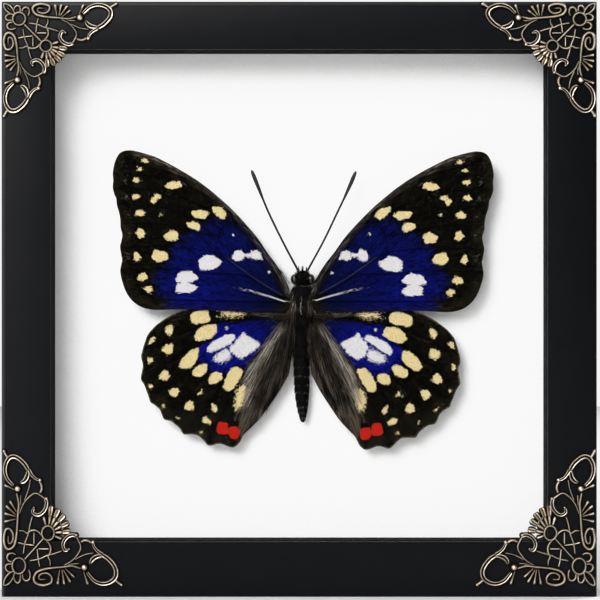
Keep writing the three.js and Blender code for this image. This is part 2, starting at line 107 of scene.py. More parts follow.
class Finish:
    """One material on a Principled shader, with its lengths in mm."""

    def __init__(self, name, sockets):
        self.material = bpy.data.materials.new(name)
        self.material.use_nodes = True
        self.tree = self.material.node_tree
        self.shader = self.tree.nodes["Principled BSDF"]
        for socket, value in sockets.items():
            self.feed(self.shader.inputs[socket], value)
        place = self.add("ShaderNodeTexCoord", output="Object")
        scale = {"operation": "SCALE"}
        self.place = self.add("ShaderNodeVectorMath", scale, {0: place, "Scale": 1 / MM})

    def feed(self, socket, value):
        if isinstance(value, Wire):
            self.tree.links.new(value.socket, socket)
        else:
            socket.default_value = value

    def add(self, kind, settings=None, sockets=None, output=0):
        node = self.tree.nodes.new(kind)
        for setting, value in (settings or {}).items():
            if setting == "stops":
                for extra in value[2:]:
                    node.color_ramp.elements.new(extra[0])
                for element, (position, colour) in zip(node.color_ramp.elements, value):
                    element.position = position
                    element.color = colour
            else:
                setattr(node, setting, value)
        for socket, value in (sockets or {}).items():
            self.feed(node.inputs[socket], value)
        return Wire(self, node.outputs[output])

    def paint(self, socket, value):
        self.feed(self.shader.inputs[socket], value)

    def mix(self, share, first, second):
        settings = {"data_type": "RGBA"}
        return self.add("ShaderNodeMix", settings, {0: share, 6: first, 7: second}, output=2)

    def noise(self, per_mm, detail=2.0, rough=0.5, at=None):
        sockets = {"Vector": at or self.place, "Scale": per_mm, "Detail": detail, "Roughness": rough}
        return self.add("ShaderNodeTexNoise", None, sockets)

    def stretched(self, across, up, deep):
        """The place in mm, scaled differently along each direction."""
        settings = {"operation": "MULTIPLY"}
        return self.add("ShaderNodeVectorMath", settings, {0: self.place, 1: (across, deep, up)})

    def place_on(self, axis):
        """The place in mm along X, Y or Z."""
        return self.add("ShaderNodeSeparateXYZ", None, {0: self.place}, output=axis)

    def painted(self, name):
        """A value that was stored on the points of the mesh."""
        return self.add("ShaderNodeAttribute", {"attribute_name": name}, output="Fac")

    def contrast(self, value, strength):
        """Spreads a noise about its middle, kept between 0 and 1."""
        return ((value - 0.5) * strength + 0.5).held()

    def relief(self, height):
        """Turns a height in mm into the shader's normal."""
        bump = self.add("ShaderNodeBump", None, {"Height": height, "Distance": MM})
        self.paint("Normal", bump)


def tone(red, green, blue, strength=1.0):
    """A screen colour from 0 to 255 as linear light."""
    def linear(value):
        share = value / 255
        return strength * (share / 12.92 if share <= 0.04045 else ((share + 0.055) / 1.055) ** 2.4)
    return (linear(red), linear(green), linear(blue), 1.0)


def to_world(points):
    """Front-view mm (right, up, out to the viewer) to metres in the shared frame."""
    points = np.asarray(points, float)
    return np.stack([points[:, 0], -points[:, 2], points[:, 1]], axis=1) * MM


def add_mesh(name, points, faces, finish, values=None, crease=40):
    """Makes a mesh object from front-view points in mm, with values stored on its points."""
    mesh = bpy.data.meshes.new(name)
    mesh.from_pydata(to_world(points).tolist(), [], [tuple(map(int, face)) for face in faces])
    mesh.validate()
    mesh.shade_smooth()
    mesh.set_sharp_from_angle(angle=math.radians(crease))
    for value_name, column in (values or {}).items():
        attribute = mesh.attributes.new(value_name, "FLOAT", "POINT")
        attribute.data.foreach_set("value", np.asarray(column, np.float32))
    mesh.materials.append(finish.material)
    made = bpy.data.objects.new(name, mesh)
    scene.collection.objects.link(made)
    return made


FLOOR_REACH = 1600
FLOOR_CELLS = 8
floor_finish = Finish("floor_paper", {"Roughness": 0.9, "Specular IOR Level": 0.2})
floor_cloud = floor_finish.noise(0.02, 3.0)
floor_finish.paint("Base Color", floor_finish.mix(floor_cloud, tone(220, 220, 219), tone(227, 227, 226)))
floor_finish.relief(floor_finish.noise(1.5, 3.0) * 0.02)
floor_row = FLOOR_CELLS + 1
floor_line = np.linspace(-FLOOR_REACH, FLOOR_REACH, floor_row)
floor_points = [(x, 0, z) for z in floor_line for x in floor_line]
floor_faces = []
for row in range(FLOOR_CELLS):
    for column in range(FLOOR_CELLS):
        first = row * floor_row + column
        floor_faces.append((first, first + floor_row, first + floor_row + 1, first + 1))
floor = add_mesh("floor", floor_points, floor_faces, floor_finish)

# ---- Light -------------------------------------------------------------------------------------
# A soft light high on the left, a broad one in front and a third for the back, in a pale room
# that is brightest on the upper left.
ROOM_BRIGHT = 1.0
ROOM_DARK = 0.03
ROOM_SEEN = 0.96
ROOM_EDGE = 0.45
ROOM_WINDOW = Vector((-1.0, -0.15, 1.0)).normalized()
room = bpy.data.worlds.new("room")
room.use_nodes = True
room_nodes = room.node_tree.nodes
room_links = room.node_tree.links
room_background = room_nodes["Background"]
room_background.inputs["Color"].default_value = (1.0, 1.0, 1.0, 1.0)
room_place = room_nodes.new("ShaderNodeTexCoord")
room_side = room_nodes.new("ShaderNodeVectorMath")
room_side.operation = "DOT_PRODUCT"
room_side.inputs[1].default_value = ROOM_WINDOW
room_links.new(room_place.outputs["Generated"], room_side.inputs[0])
room_light = room_nodes.new("ShaderNodeMapRange")
room_light.inputs["From Min"].default_value = ROOM_EDGE
room_light.inputs["To Min"].default_value = ROOM_DARK
room_light.inputs["To Max"].default_value = ROOM_BRIGHT
room_links.new(room_side.outputs["Value"], room_light.inputs["Value"])
room_path = room_nodes.new("ShaderNodeLightPath")
room_level = room_nodes.new("ShaderNodeMapRange")
room_level.inputs["To Max"].default_value = ROOM_SEEN
room_links.new(room_path.outputs["Is Camera Ray"], room_level.inputs["Value"])
room_links.new(room_light.outputs["Result"], room_level.inputs["To Min"])
room_links.new(room_level.outputs["Result"], room_background.inputs["Strength"])
scene.world = room
scene.view_settings.view_transform = "Standard"
# Bright light is rounded off gently, as film does, so the white card keeps its tooth. Each pair
# is a level of light and what is seen of it, between black and SHOULDER_TOP.
SHOULDER_TOP = 2.0
SHOULDER = [(0.7, 0.7), (0.85, 0.835), (0.95, 0.893), (1.05, 0.926), (1.2, 0.944), (1.5, 0.957)]
ALL_COLOURS_CURVE = 3
scene.view_settings.use_curve_mapping = True
curves = scene.view_settings.curve_mapping
curves.white_level = (SHOULDER_TOP, SHOULDER_TOP, SHOULDER_TOP)
brightness = curves.curves[ALL_COLOURS_CURVE]
for level, seen in SHOULDER:
    brightness.points.new(level / SHOULDER_TOP, seen)
for point in brightness.points:
    point.handle_type = "VECTOR"
curves.update()

LIGHT_AIM = Vector((0, 0, 0.075))
LIGHTS = [
    # name, towards it, distance, width, watts, seen in reflections
    ("upper_left_light", (-0.475, -1.0, 0.55), 1.0, 0.6, 11.0, True),
    ("broad_light", (-0.05, -1.0, 0.25), 1.8, 0.9, 7.4, False),
    ("back_light", (0.9, 1.0, 0.9), 1.6, 0.9, 24.0, True),
]
for name, towards, distance, side, watts, reflected in LIGHTS:
    lamp = bpy.data.lights.new(name, "AREA")
    lamp.shape = "DISK"
    lamp.size = side
    lamp.energy = watts
    holder = bpy.data.objects.new(name, lamp)
    holder.location = LIGHT_AIM + Vector(towards).normalized() * distance
    holder.rotation_euler = (LIGHT_AIM - holder.location).to_track_quat("-Z", "Y").to_euler()
    holder.visible_camera = False
    holder.visible_glossy = reflected
    scene.collection.objects.link(holder)

# ---- Rails -------------------------------------------------------------------------------------
# Four wooden rails, moulded with a lip in front of a rabbet, mitred at the corners and sprayed
# with satin black paint. A gloss coat laid only along the outer edges at the top and left, where the light
# falls, gives them a painted highlight.
FRAME_SIZE = 150
MIDDLE = FRAME_SIZE / 2
FRONT = 14
FACE_DEPTH = 0.2
LIP_THICKNESS = 3
SIDE_RAIL = 12.4
TOP_RAIL = 12.1
BOTTOM_RAIL = 13.9
WALL_SHARE = 0.6
LIP_BACK = FRONT - LIP_THICKNESS
MITRE_JOINT = 0.03
RAIL_ROUNDING = {"outer": 0.75, "inner": 0.16, "back": 0.35}


def arc(centre, radius, start, end, steps=6):
    """Points on a part circle, with its angles in degrees."""
    angles = np.radians(np.linspace(start, end, steps))
    return [(centre[0] + radius * math.cos(a), centre[1] + radius * math.sin(a)) for a in angles]


def rail_profile(width):
    """Inward distance and depth, from the outer front edge round to the outer back edge."""
    outer = RAIL_ROUNDING["outer"]
    inner = RAIL_ROUNDING["inner"]
    back = RAIL_ROUNDING["back"]
    wall = WALL_SHARE * width
    profile = arc((outer, FRONT - outer), outer, 180, 90)
    profile += arc((width - inner, FRONT - inner), inner, 90, 0)
    profile += [(width, LIP_BACK), (wall, LIP_BACK)]
    profile += arc((wall - back, -FRONT + back), back, 0, -90, steps=4)
    profile += arc((back, -FRONT + back), back, 270, 180, steps=4)
    return profile


def rail_skin(width, near, far):
    """A rail along x with its outside at y = 0 and its inside below, cut to the mitres."""
    profile = rail_profile(width)
    count = len(profile)
    points = []
    for side, neighbour in ((-1, near), (1, far)):
        for inward, depth in profile:
            reach = MIDDLE - neighbour * inward / width - MITRE_JOINT
            points.append((side * reach, -inward, depth))
    faces = []
    for first in range(count):
        second = (first + 1) % count
        faces.append((first, second, count + second, count + first))
    faces.append(tuple(reversed(range(count))))
    faces.append(tuple(range(count, 2 * count)))
    return np.array(points), faces


def turned(points, degrees, shift):
    """Points turned in the front view and then moved."""
    angle = math.radians(degrees)
    x, y, z = np.asarray(points, float).T
    across = x * math.cos(angle) - y * math.sin(angle) + shift[0]
    up = x * math.sin(angle) + y * math.cos(angle) + shift[1]
    return np.stack([across, up, z], axis=1)


rail_sheen = {"Roughness": 0.3, "Specular IOR Level": 0.11, "Coat Roughness": 0.34}
rail_finish = Finish("satin_black_paint", rail_sheen)
rail_cloud = rail_finish.noise(0.12, 4.0)
rail_grain = rail_finish.noise(4.0, 3.0)
rail_finish.paint("Base Color", rail_finish.mix(rail_cloud, tone(4, 5, 7), tone(8, 9, 11)))
# The paint is duller behind the face. A gloss coat along the outer edges at the top and left, where the
# light falls, is a painted highlight.
rail_hidden = ((rail_finish.place_on("Y") + (FRONT - FACE_DEPTH)) * 4.0).held()
rail_finish.paint("Roughness", rail_finish.noise(0.8, 3.0) * 0.12 + rail_hidden * 0.5 + 0.27)
rail_finish.relief(rail_grain * 0.012 + rail_cloud * 0.05)
from_edge = (rail_finish.place_on("X") + MIDDLE).least(FRAME_SIZE - rail_finish.place_on("Z"))
rail_finish.paint("Coat Weight", (2.0 - from_edge * 2.2).held())
RAILS = [
    # name, width, neighbours at its two ends, turn, middle of its outside
    ("rail_top", TOP_RAIL, SIDE_RAIL, SIDE_RAIL, 0, (0, FRAME_SIZE)),
    ("rail_left", SIDE_RAIL, BOTTOM_RAIL, TOP_RAIL, 90, (-MIDDLE, MIDDLE)),
    ("rail_bottom", BOTTOM_RAIL, SIDE_RAIL, SIDE_RAIL, 180, (0, 0)),
    ("rail_right", SIDE_RAIL, TOP_RAIL, BOTTOM_RAIL, -90, (MIDDLE, MIDDLE)),
]
for name, width, near, far, turn, middle in RAILS:
    points, faces = rail_skin(width, near, far)
    rail = add_mesh("painted_" + name, turned(points, turn, middle), faces, rail_finish, crease=35)
    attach(rail, "root")
    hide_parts(name)

# ---- Pane --------------------------------------------------------------------------------------
# Two millimetres of float glass, cut to the rabbet and laid in behind the lip. It is clean, so
# only its sheen shows.
pane_finish = Finish("clear_glass", {"Base Color": (1, 1, 1, 1), "Metallic": 1.0, "Roughness": 0.02})
pane_slant = pane_finish.add("ShaderNodeLayerWeight", None, {"Blend": 0.5}, output="Facing")
pane_finish.paint("Alpha", pane_slant ** 5.0 + pane_slant * 0.02 + pane_finish.noise(0.03) * 0.002)


def dress(node_names, finish):
    """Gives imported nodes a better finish, without touching their shape."""
    for node_name in node_names:
        slots = nodes[node_name].data.materials
        slots.clear()
        slots.append(finish.material)


dress(["glass_pane"], pane_finish)

# ---- Spacers -----------------------------------------------------------------------------------
# Strips of black board, cut to length, that line the walls. They stand between the pane and the
# card and keep the glass off the wings.
spacer_finish = Finish("black_board", {"Roughness": 0.8, "Specular IOR Level": 0.02})
spacer_fibre = spacer_finish.noise(6.0, 3.0)
spacer_finish.paint("Base Color", spacer_finish.mix(spacer_fibre, tone(8, 8, 8), tone(15, 15, 15)))
spacer_finish.relief(spacer_fibre * 0.02)
dress(["spacer_top", "spacer_bottom", "spacer_left", "spacer_right"], spacer_finish)

# ---- Card --------------------------------------------------------------------------------------
# Thick white card with the tooth of drawing paper, laid in behind the spacers. The butterfly is
# glued to it.
card_finish = Finish("white_card", {"Roughness": 0.9, "Specular IOR Level": 0.1})
card_fibre = card_finish.noise(1.6, 5.0, 0.65)
card_cloud = card_finish.noise(0.15, 3.0)
card_tone = (card_fibre * 0.7 + card_cloud * 0.3).held()
card_finish.paint("Base Color", card_finish.mix(card_tone, tone(240, 240, 240), tone(254, 254, 254)))
card_finish.relief(card_fibre * 0.2 + card_finish.noise(5.0, 2.0) * 0.04)
dress(["mount_card"], card_finish)

# ---- Back board, points and hanger -------------------------------------------------------------
# A hardboard back is held by pressed steel points, and hangs by a toothed brass strip on two
# brass nails.
board_finish = Finish("hardboard", {"Roughness": 0.75, "Specular IOR Level": 0.25})
board_fibre = board_finish.noise(2.2, 6.0, 0.7)
board_cloud = board_finish.noise(0.08, 3.0)
board_tone = (board_fibre * 0.6 + board_cloud * 0.4).held()
board_finish.paint("Base Color", board_finish.mix(board_tone, tone(92, 62, 38), tone(148, 108, 72)))
board_finish.relief(board_fibre * 0.06)
dress(["back_board"], board_finish)

steel_finish = Finish("pressed_steel", {"Metallic": 1.0, "Roughness": 0.35})
steel_brush = steel_finish.noise(1.0, 4.0, 0.6, steel_finish.stretched(6.0, 0.6, 6.0))
steel_finish.paint("Base Color", steel_finish.mix(steel_brush, tone(120, 122, 124), tone(176, 178, 180)))
steel_finish.paint("Roughness", steel_brush * 0.25 + 0.25)
steel_finish.relief(steel_brush * 0.01)
POINTS = [f"tab_{side}_{index}" for side in ("top", "bottom", "left", "right") for index in (1, 2)]
dress(POINTS, steel_finish)

hanger_finish = Finish("rolled_brass", {"Metallic": 1.0, "Roughness": 0.35})
hanger_brush = hanger_finish.noise(1.0, 4.0, 0.6, hanger_finish.stretched(0.6, 6.0, 6.0))
hanger_finish.paint("Base Color", hanger_finish.mix(hanger_brush, tone(150, 112, 52), tone(206, 168, 96)))
hanger_finish.paint("Roughness", hanger_brush * 0.2 + 0.25)
hanger_finish.relief(hanger_brush * 0.01)
dress(["hanger", "hanger_nail_left", "hanger_nail_right"], hanger_finish)

# ---- Corner castings ---------------------------------------------------------------------------
# Cast filigree in antiqued brass, pinned over each mitre: a ringed flower at the corner, scrolls
# and leaflets along both arms, a shell on the diagonal. The crowns are rubbed bright.
CASTING_FOOT = FRONT + 0.02
CASTING_RISE = 1.25
# The foot of each strand and bead spreads into a thin dark rim this much wider: painted shade that
# outlines the casting on the rail and on the card.
CASTING_SHADE_RIM = 0.24
STRAND_BOLDNESS = 1.42
STRAND_STEP = 0.16
CURVE_STEPS = 14
BEAD_RINGS = 7
BEAD_SIDES = 18
BEAD_TOP = 1e-4
ROUND_SECTION = [(-1, 0), (-0.93, 0.45), (-0.62, 0.84), (0, 1), (0.62, 0.84), (0.93, 0.45), (1, 0)]
GROOVED_SECTION = [
    (-1, 0), (-0.98, 0.55), (-0.78, 0.95), (-0.5, 0.92), (-0.22, 0.55), (0.22, 0.55),
    (0.5, 0.92), (0.78, 0.95), (0.98, 0.55), (1, 0),
]
PETAL_SECTION = [
    (-1, 0), (-0.92, 0.5), (-0.7, 0.92), (-0.48, 0.9), (0, 0.74), (0.48, 0.9), (0.7, 0.92), (0.92, 0.5),
    (1, 0),
]


def smooth_path(route, spacing, closed=False):
    """A smooth curve through the points of a route, cut into even steps."""
    route = np.asarray(route, float)
    count = len(route)
    if closed:
        padded = np.vstack([route[-1], route, route[0], route[1]])
        spans = count
    else:
        padded = np.vstack([2 * route[0] - route[1], route, 2 * route[-1] - route[-2]])
        spans = count - 1
    share = np.linspace(0, 1, CURVE_STEPS, endpoint=False)[:, None]
    pieces = []
    for span in range(spans):
        before, start, end, after = padded[span:span + 4]
        pieces.append(0.5 * (
            2 * start + (end - before) * share
            + (2 * before - 5 * start + 4 * end - after) * share ** 2
            + (3 * start - before - 3 * end + after) * share ** 3
        ))
    fine = np.vstack(pieces + [padded[spans + 1][None, :]])
    steps = np.linalg.norm(np.diff(fine, axis=0), axis=1)
    along = np.concatenate([[0], np.cumsum(steps)])
    wanted = np.linspace(0, along[-1], max(3, int(round(along[-1] / spacing)) + 1))
    even = np.stack([np.interp(wanted, along, column) for column in fine.T], axis=1)
    return even[:-1] if closed else even


def strand(route, widths, section=ROUND_SECTION, rise=1.0, closed=False):
    """One raised strand of the casting: points, faces and how near each point is to the crown."""
    path = smooth_path(route, STRAND_STEP, closed)
    count = len(path)
    share = np.linspace(0, 1, count)
    width = STRAND_BOLDNESS * np.interp(share, np.linspace(0, 1, len(widths)), widths)
    ahead = np.roll(path, -1, axis=0) - np.roll(path, 1, axis=0)
    if not closed:
        ahead[0] = path[1] - path[0]
        ahead[-1] = path[-1] - path[-2]
    ahead /= np.linalg.norm(ahead, axis=1)[:, None]
    across = np.stack([ahead[:, 1], -ahead[:, 0]], axis=1)
    # Thin strands stand lower than broad ones, and both ends of an open one are rounded off.
    height = CASTING_RISE * rise * np.minimum(1.0, 0.35 + 0.9 * width)
    if not closed:
        to_end = np.minimum(np.arange(count), np.arange(count)[::-1]) * STRAND_STEP
        rounding = np.sqrt(1 - (1 - np.clip(to_end / (0.5 * width), 0, 1)) ** 2)
        width = width * np.maximum(rounding, 0.2)
        height = height * (0.55 + 0.45 * rounding)
    points = []
    crown = []
    for spot, side, wide, high in zip(path, across, width, height):
        for out, up in section:
            # The foot row spreads out into the dark rim of painted shade.
            shade_rim = math.copysign(CASTING_SHADE_RIM, out) if up == 0 else 0
            along, inward = spot + side * (out * wide / 2 + shade_rim)
            points.append((along, -inward, CASTING_FOOT + up * high))
            crown.append(up)
    sides = len(section)
    faces = []
    rows = count if closed else count - 1
    for row in range(rows):
        this = row * sides
        following = ((row + 1) % count) * sides
        for side in range(sides):
            other = (side + 1) % sides
            faces.append((this + side, this + other, following + other, following + side))
    if not closed:
        faces.append(tuple(reversed(range(sides))))
        faces.append(tuple(range((count - 1) * sides, count * sides)))
    return np.array(points), faces, np.array(crown)


def bead(centre, radius, rise=1.0):
    """A domed bead of the casting: points, faces and how near each point is to the crown."""
    points = []
    crown = []
    for ring in range(BEAD_RINGS):
        angle = math.pi / 2 * ring / (BEAD_RINGS - 1)
        # The lowest ring spreads out into the dark rim of painted shade.
        reach = radius * math.cos(angle) + (BEAD_TOP if ring else CASTING_SHADE_RIM)
        up = math.sin(angle)
        for side in range(BEAD_SIDES):
            turn = 2 * math.pi * side / BEAD_SIDES
            along = centre[0] + reach * math.cos(turn)
            inward = centre[1] + reach * math.sin(turn)
            points.append((along, -inward, CASTING_FOOT + rise * up))
            crown.append(0.35 + 0.65 * up if ring else 0)
    faces = []
    for ring in range(BEAD_RINGS - 1):
        low = ring * BEAD_SIDES
        high = low + BEAD_SIDES
        for side in range(BEAD_SIDES):
            other = (side + 1) % BEAD_SIDES
            faces.append((low + other, low + side, high + side, high + other))
    faces.append(tuple(range(BEAD_SIDES)))
    faces.append(tuple(reversed(range((BEAD_RINGS - 1) * BEAD_SIDES, BEAD_RINGS * BEAD_SIDES))))
    return np.array(points), faces, np.array(crown)


def ring_route(centre, radius, count=12):
    """Even points round a ring of the casting."""
    angles = np.linspace(0, 2 * math.pi, count, endpoint=False)
    return [(centre[0] + radius * math.cos(a), centre[1] + radius * math.sin(a)) for a in angles]


FLOWER = (4.5, 4.4)
FLOWER_RING = 1.6
SHELL = (11.25, 11.25)
SHELL_RING = 1.44
RING_WIDTHS = [0.44]
ARM_STRANDS = [
    # route from the outer corner (along the arm, inward), widths along it, section, rise
    ([(3.16, 2.6), (3.35, 1.65), (4.04, 1.1), (4.7, 1.45), (4.8, 2.7)],
     [0.3, 0.42, 0.34], ROUND_SECTION, 0.85),
    ([(5.3, 2.8), (5.43, 1.95), (6.18, 1.5), (6.94, 1.9), (7.06, 2.9), (6.7, 3.7)],
     [0.34, 0.46, 0.34], ROUND_SECTION, 0.85),
    ([(10.7, 1.78), (9.3, 1.8), (9.2, 2.5), (10.0, 2.95), (11.2, 2.95), (12.1, 2.2), (12.0, 1.2),
      (10.7, 0.72), (9.46, 0.72), (8.25, 1.2), (7.95, 2.15), (8.7, 3.25), (10.46, 3.8), (12.73, 4.05),
      (14.75, 4.2), (16.76, 4.4), (18.3, 4.1), (19.0, 3.9)],
     [0.3, 0.42, 0.5, 0.56, 0.56, 0.56, 0.5, 0.46, 0.46, 0.4], ROUND_SECTION, 1.0),
    ([(15.25, 4.45), (17.3, 4.8), (18.6, 4.85)], [0.26, 0.24], ROUND_SECTION, 0.6),
    ([(17.5, 5.7), (19.8, 6.7), (22.0, 7.1)], [0.24, 0.26, 0.28], ROUND_SECTION, 0.6),
    ([(15.0, 4.5), (16.76, 5.4), (17.9, 6.43), (18.8, 7.7), (18.9, 8.7), (18.4, 9.7), (17.9, 10.5)],
     [0.26, 0.3, 0.34, 0.4], ROUND_SECTION, 0.7),
    ([(20.5, 3.2), (21.1, 2.55), (22.3, 1.5), (24.06, 0.95), (25.8, 1.15), (27.2, 2.0), (27.6, 3.16),
      (27.1, 4.42), (25.8, 5.8), (24.3, 6.7)],
     [0.5, 0.66, 0.72, 0.8, 0.86, 0.86, 0.84, 0.8], GROOVED_SECTION, 1.0),
    ([(24.3, 6.55), (23.2, 6.45), (22.2, 6.1), (21.5, 5.4), (21.35, 4.7)], [0.4, 0.8, 0.95, 0.8, 0.3],
     GROOVED_SECTION, 0.9),
    ([(27.3, 1.7), (28.0, 1.2), (28.8, 0.75)], [0.6, 0.5, 0.6], ROUND_SECTION, 0.9),
    ([(24.5, 6.7), (23.2, 7.45), (22.3, 8.3), (21.9, 9.2)], [0.75, 0.6, 0.5, 0.5], GROOVED_SECTION, 0.9),
    ([(21.5, 9.2), (20.8, 9.65), (19.8, 9.75), (19.0, 9.4)], [0.5, 0.56, 0.56, 0.5], ROUND_SECTION, 0.9),
    ([(16.1, 7.9), (15.3, 7.7), (14.8, 8.7), (15.1, 9.75), (16.0, 10.6), (17.1, 10.9), (18.1, 10.6)],
     [0.5, 0.62, 0.7, 0.7, 0.6], GROOVED_SECTION, 1.0),
    ([(6.94, 5.45), (9.2, 5.85), (10.97, 6.56), (13.0, 7.06), (14.5, 7.57)],
     [0.3, 0.34, 0.3], ROUND_SECTION, 0.6),
    ([(9.3, 4.2), (8.95, 5.7), (8.7, 7.95)], [0.26, 0.28, 0.26], ROUND_SECTION, 0.5),
    ([(11.75, 4.4), (11.7, 5.5), (11.3, 6.3), (11.75, 7.2), (11.85, 8.2), (11.47, 9.1), (10.8, 9.7)],
     [0.28, 0.32, 0.44, 0.4, 0.34], ROUND_SECTION, 0.7),
    ([(8.95, 7.95), (11.4, 7.95)], [0.26, 0.28], ROUND_SECTION, 0.5),
]
ARM_BEADS = [
    # centre, radius, rise
    ((19.82, 4.1), 0.95, 1.5), ((28.85, 0.72), 0.48, 1.2), ((21.9, 9.35), 0.62, 1.25),
    ((16.2, 7.95), 0.36, 1.1), ((11.3, 6.45), 0.3, 0.9), ((17.9, 10.85), 0.5, 1.15),
]
LEAFLETS = [
    # root and tip
    ((14.0, 3.7), (13.5, 0.8)), ((14.5, 3.7), (15.1, 0.8)), ((14.8, 3.7), (16.6, 1.2)),
    ((15.3, 3.9), (17.5, 2.2)), ((19.6, 3.4), (20.7, 0.8)),
]
LEAFLET_WIDTHS = [0.24, 0.34, 0.74]
CORNER_LEAF = [(3.3, 3.3), (2.1, 3.0), (0.95, 1.9), (0.7, 0.7), (1.9, 0.95), (3.0, 2.1)]
DIAGONAL_STALK = [(5.7, 5.7), (10.2, 10.2)]
# The shell's rays, in degrees, and how far from its middle a ray and the petal beyond it run.
SHELL_RAYS = [-18, 8, 28, 47, 67, 86, 110]
RAY_REACH = (1.6, 2.6, 3.4)
PETAL_REACH = (3.3, 4.3, 5.35)
# Where the outside corner, the flower, the shell, the bead and the finial come along an arm. The
# bottom castings are longer, reach further up the side rails and stand in from the bottom edge.
LANDMARKS = [0, 4.5, 11.35, 19.9, 29]
LANDMARKS_ACROSS_BOTTOM = [0, 4.5, 11.9, 21.0, 30.4]
LANDMARKS_UP_SIDE = [2.2, 8.0, 16.2, 27.4, 36.9]


def casting_skin(along_landmarks, down_landmarks):
    """The whole casting, with one arm along x and the other down."""
    def fitted(route):
        route = np.asarray(route, float)
        along = np.interp(route[:, 0], LANDMARKS, along_landmarks)
        return np.column_stack([along, np.interp(route[:, 1], LANDMARKS, down_landmarks)])

    def swapped(route):
        return [point[::-1] for point in route]

    def ray(degrees, reach):
        angle = math.radians(degrees)
        return fitted([(SHELL[0] + d * math.cos(angle), SHELL[1] + d * math.sin(angle)) for d in reach])

    made = [strand(fitted(ring_route(FLOWER, FLOWER_RING)), RING_WIDTHS, closed=True)]
    made.append(strand(fitted(ring_route(SHELL, SHELL_RING)), RING_WIDTHS, closed=True))
    for route, widths, section, rise in ARM_STRANDS:
        made.append(strand(fitted(route), widths, section, rise))
        made.append(strand(fitted(swapped(route)), widths, section, rise))
    for centre, radius, rise in ARM_BEADS:
        made.append(bead(fitted([centre])[0], radius, rise))
        made.append(bead(fitted([centre[::-1]])[0], radius, rise))
    for root, tip in LEAFLETS:
        middle = tuple(0.45 * a + 0.55 * b for a, b in zip(root, tip))
        for route in ([root, middle, tip], swapped([root, middle, tip])):
            made.append(strand(fitted(route), LEAFLET_WIDTHS, rise=0.95))
    made.append(strand(fitted(CORNER_LEAF), [0.38], closed=True))
    made.append(strand(fitted(DIAGONAL_STALK), [0.32, 0.32], rise=0.6))
    for degrees in SHELL_RAYS:
        made.append(strand(ray(degrees, RAY_REACH), [0.42, 0.58, 0.66], rise=0.8))
        if degrees in SHELL_RAYS[1:-1]:
            made.append(strand(ray(degrees, PETAL_REACH), [0.7, 0.94, 1.0], PETAL_SECTION, 1.0))
    return made


def joined(parts):
    """Several skins as one: points, faces and the value on each point."""
    points = []
    faces = []
    values = []
    start = 0
    for part_points, part_faces, part_values in parts:
        points.append(part_points)
        faces += [tuple(start + corner for corner in face) for face in part_faces]
        values.append(part_values)
        start += len(part_points)
    return np.vstack(points), faces, np.concatenate(values)


casting_finish = Finish("antiqued_brass", {"Metallic": 0.85, "Roughness": 0.4})
casting_crown = casting_finish.painted("crown")
casting_wear = casting_finish.noise(0.9, 4.0, 0.6)
casting_shine = (casting_crown * 3.5 + casting_wear * 0.9 - 2.9).held()
# Dark brown is the patina in the hollows, and also the painted shade on the foot rims.
casting_patina_and_shade = casting_finish.mix(casting_wear, tone(5, 4, 3), tone(34, 27, 19))
casting_bright = casting_finish.mix(casting_finish.noise(3.0), tone(226, 213, 193), tone(255, 248, 234))
casting_sides = casting_finish.mix((casting_shine * 2.2).held(), casting_patina_and_shade, tone(138, 115, 85))
casting_rubbed = (casting_shine * 1.8 - 0.8).held()
casting_finish.paint("Base Color", casting_finish.mix(casting_rubbed, casting_sides, casting_bright))
casting_finish.paint("Roughness", 0.62 - casting_shine * 0.3)
casting_finish.relief(casting_finish.noise(5.0, 3.0) * 0.05)
CORNERS = [
    # name, turn, outside corner, landmarks along x and down
    ("corner_top_left", 0, (-MIDDLE, FRAME_SIZE), LANDMARKS, LANDMARKS),
    ("corner_top_right", -90, (MIDDLE, FRAME_SIZE), LANDMARKS, LANDMARKS),
    ("corner_bottom_right", 180, (MIDDLE, 0), LANDMARKS_ACROSS_BOTTOM, LANDMARKS_UP_SIDE),
    ("corner_bottom_left", 90, (-MIDDLE, 0), LANDMARKS_UP_SIDE, LANDMARKS_ACROSS_BOTTOM),
]
for name, turn, corner, along_landmarks, down_landmarks in CORNERS:
    points, faces, crowns = joined(casting_skin(along_landmarks, down_landmarks))
    points = turned(points, turn, corner)
    casting = add_mesh("filigree_" + name, points, faces, casting_finish, {"crown": crowns})
    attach(casting, "root")
    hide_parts(name)

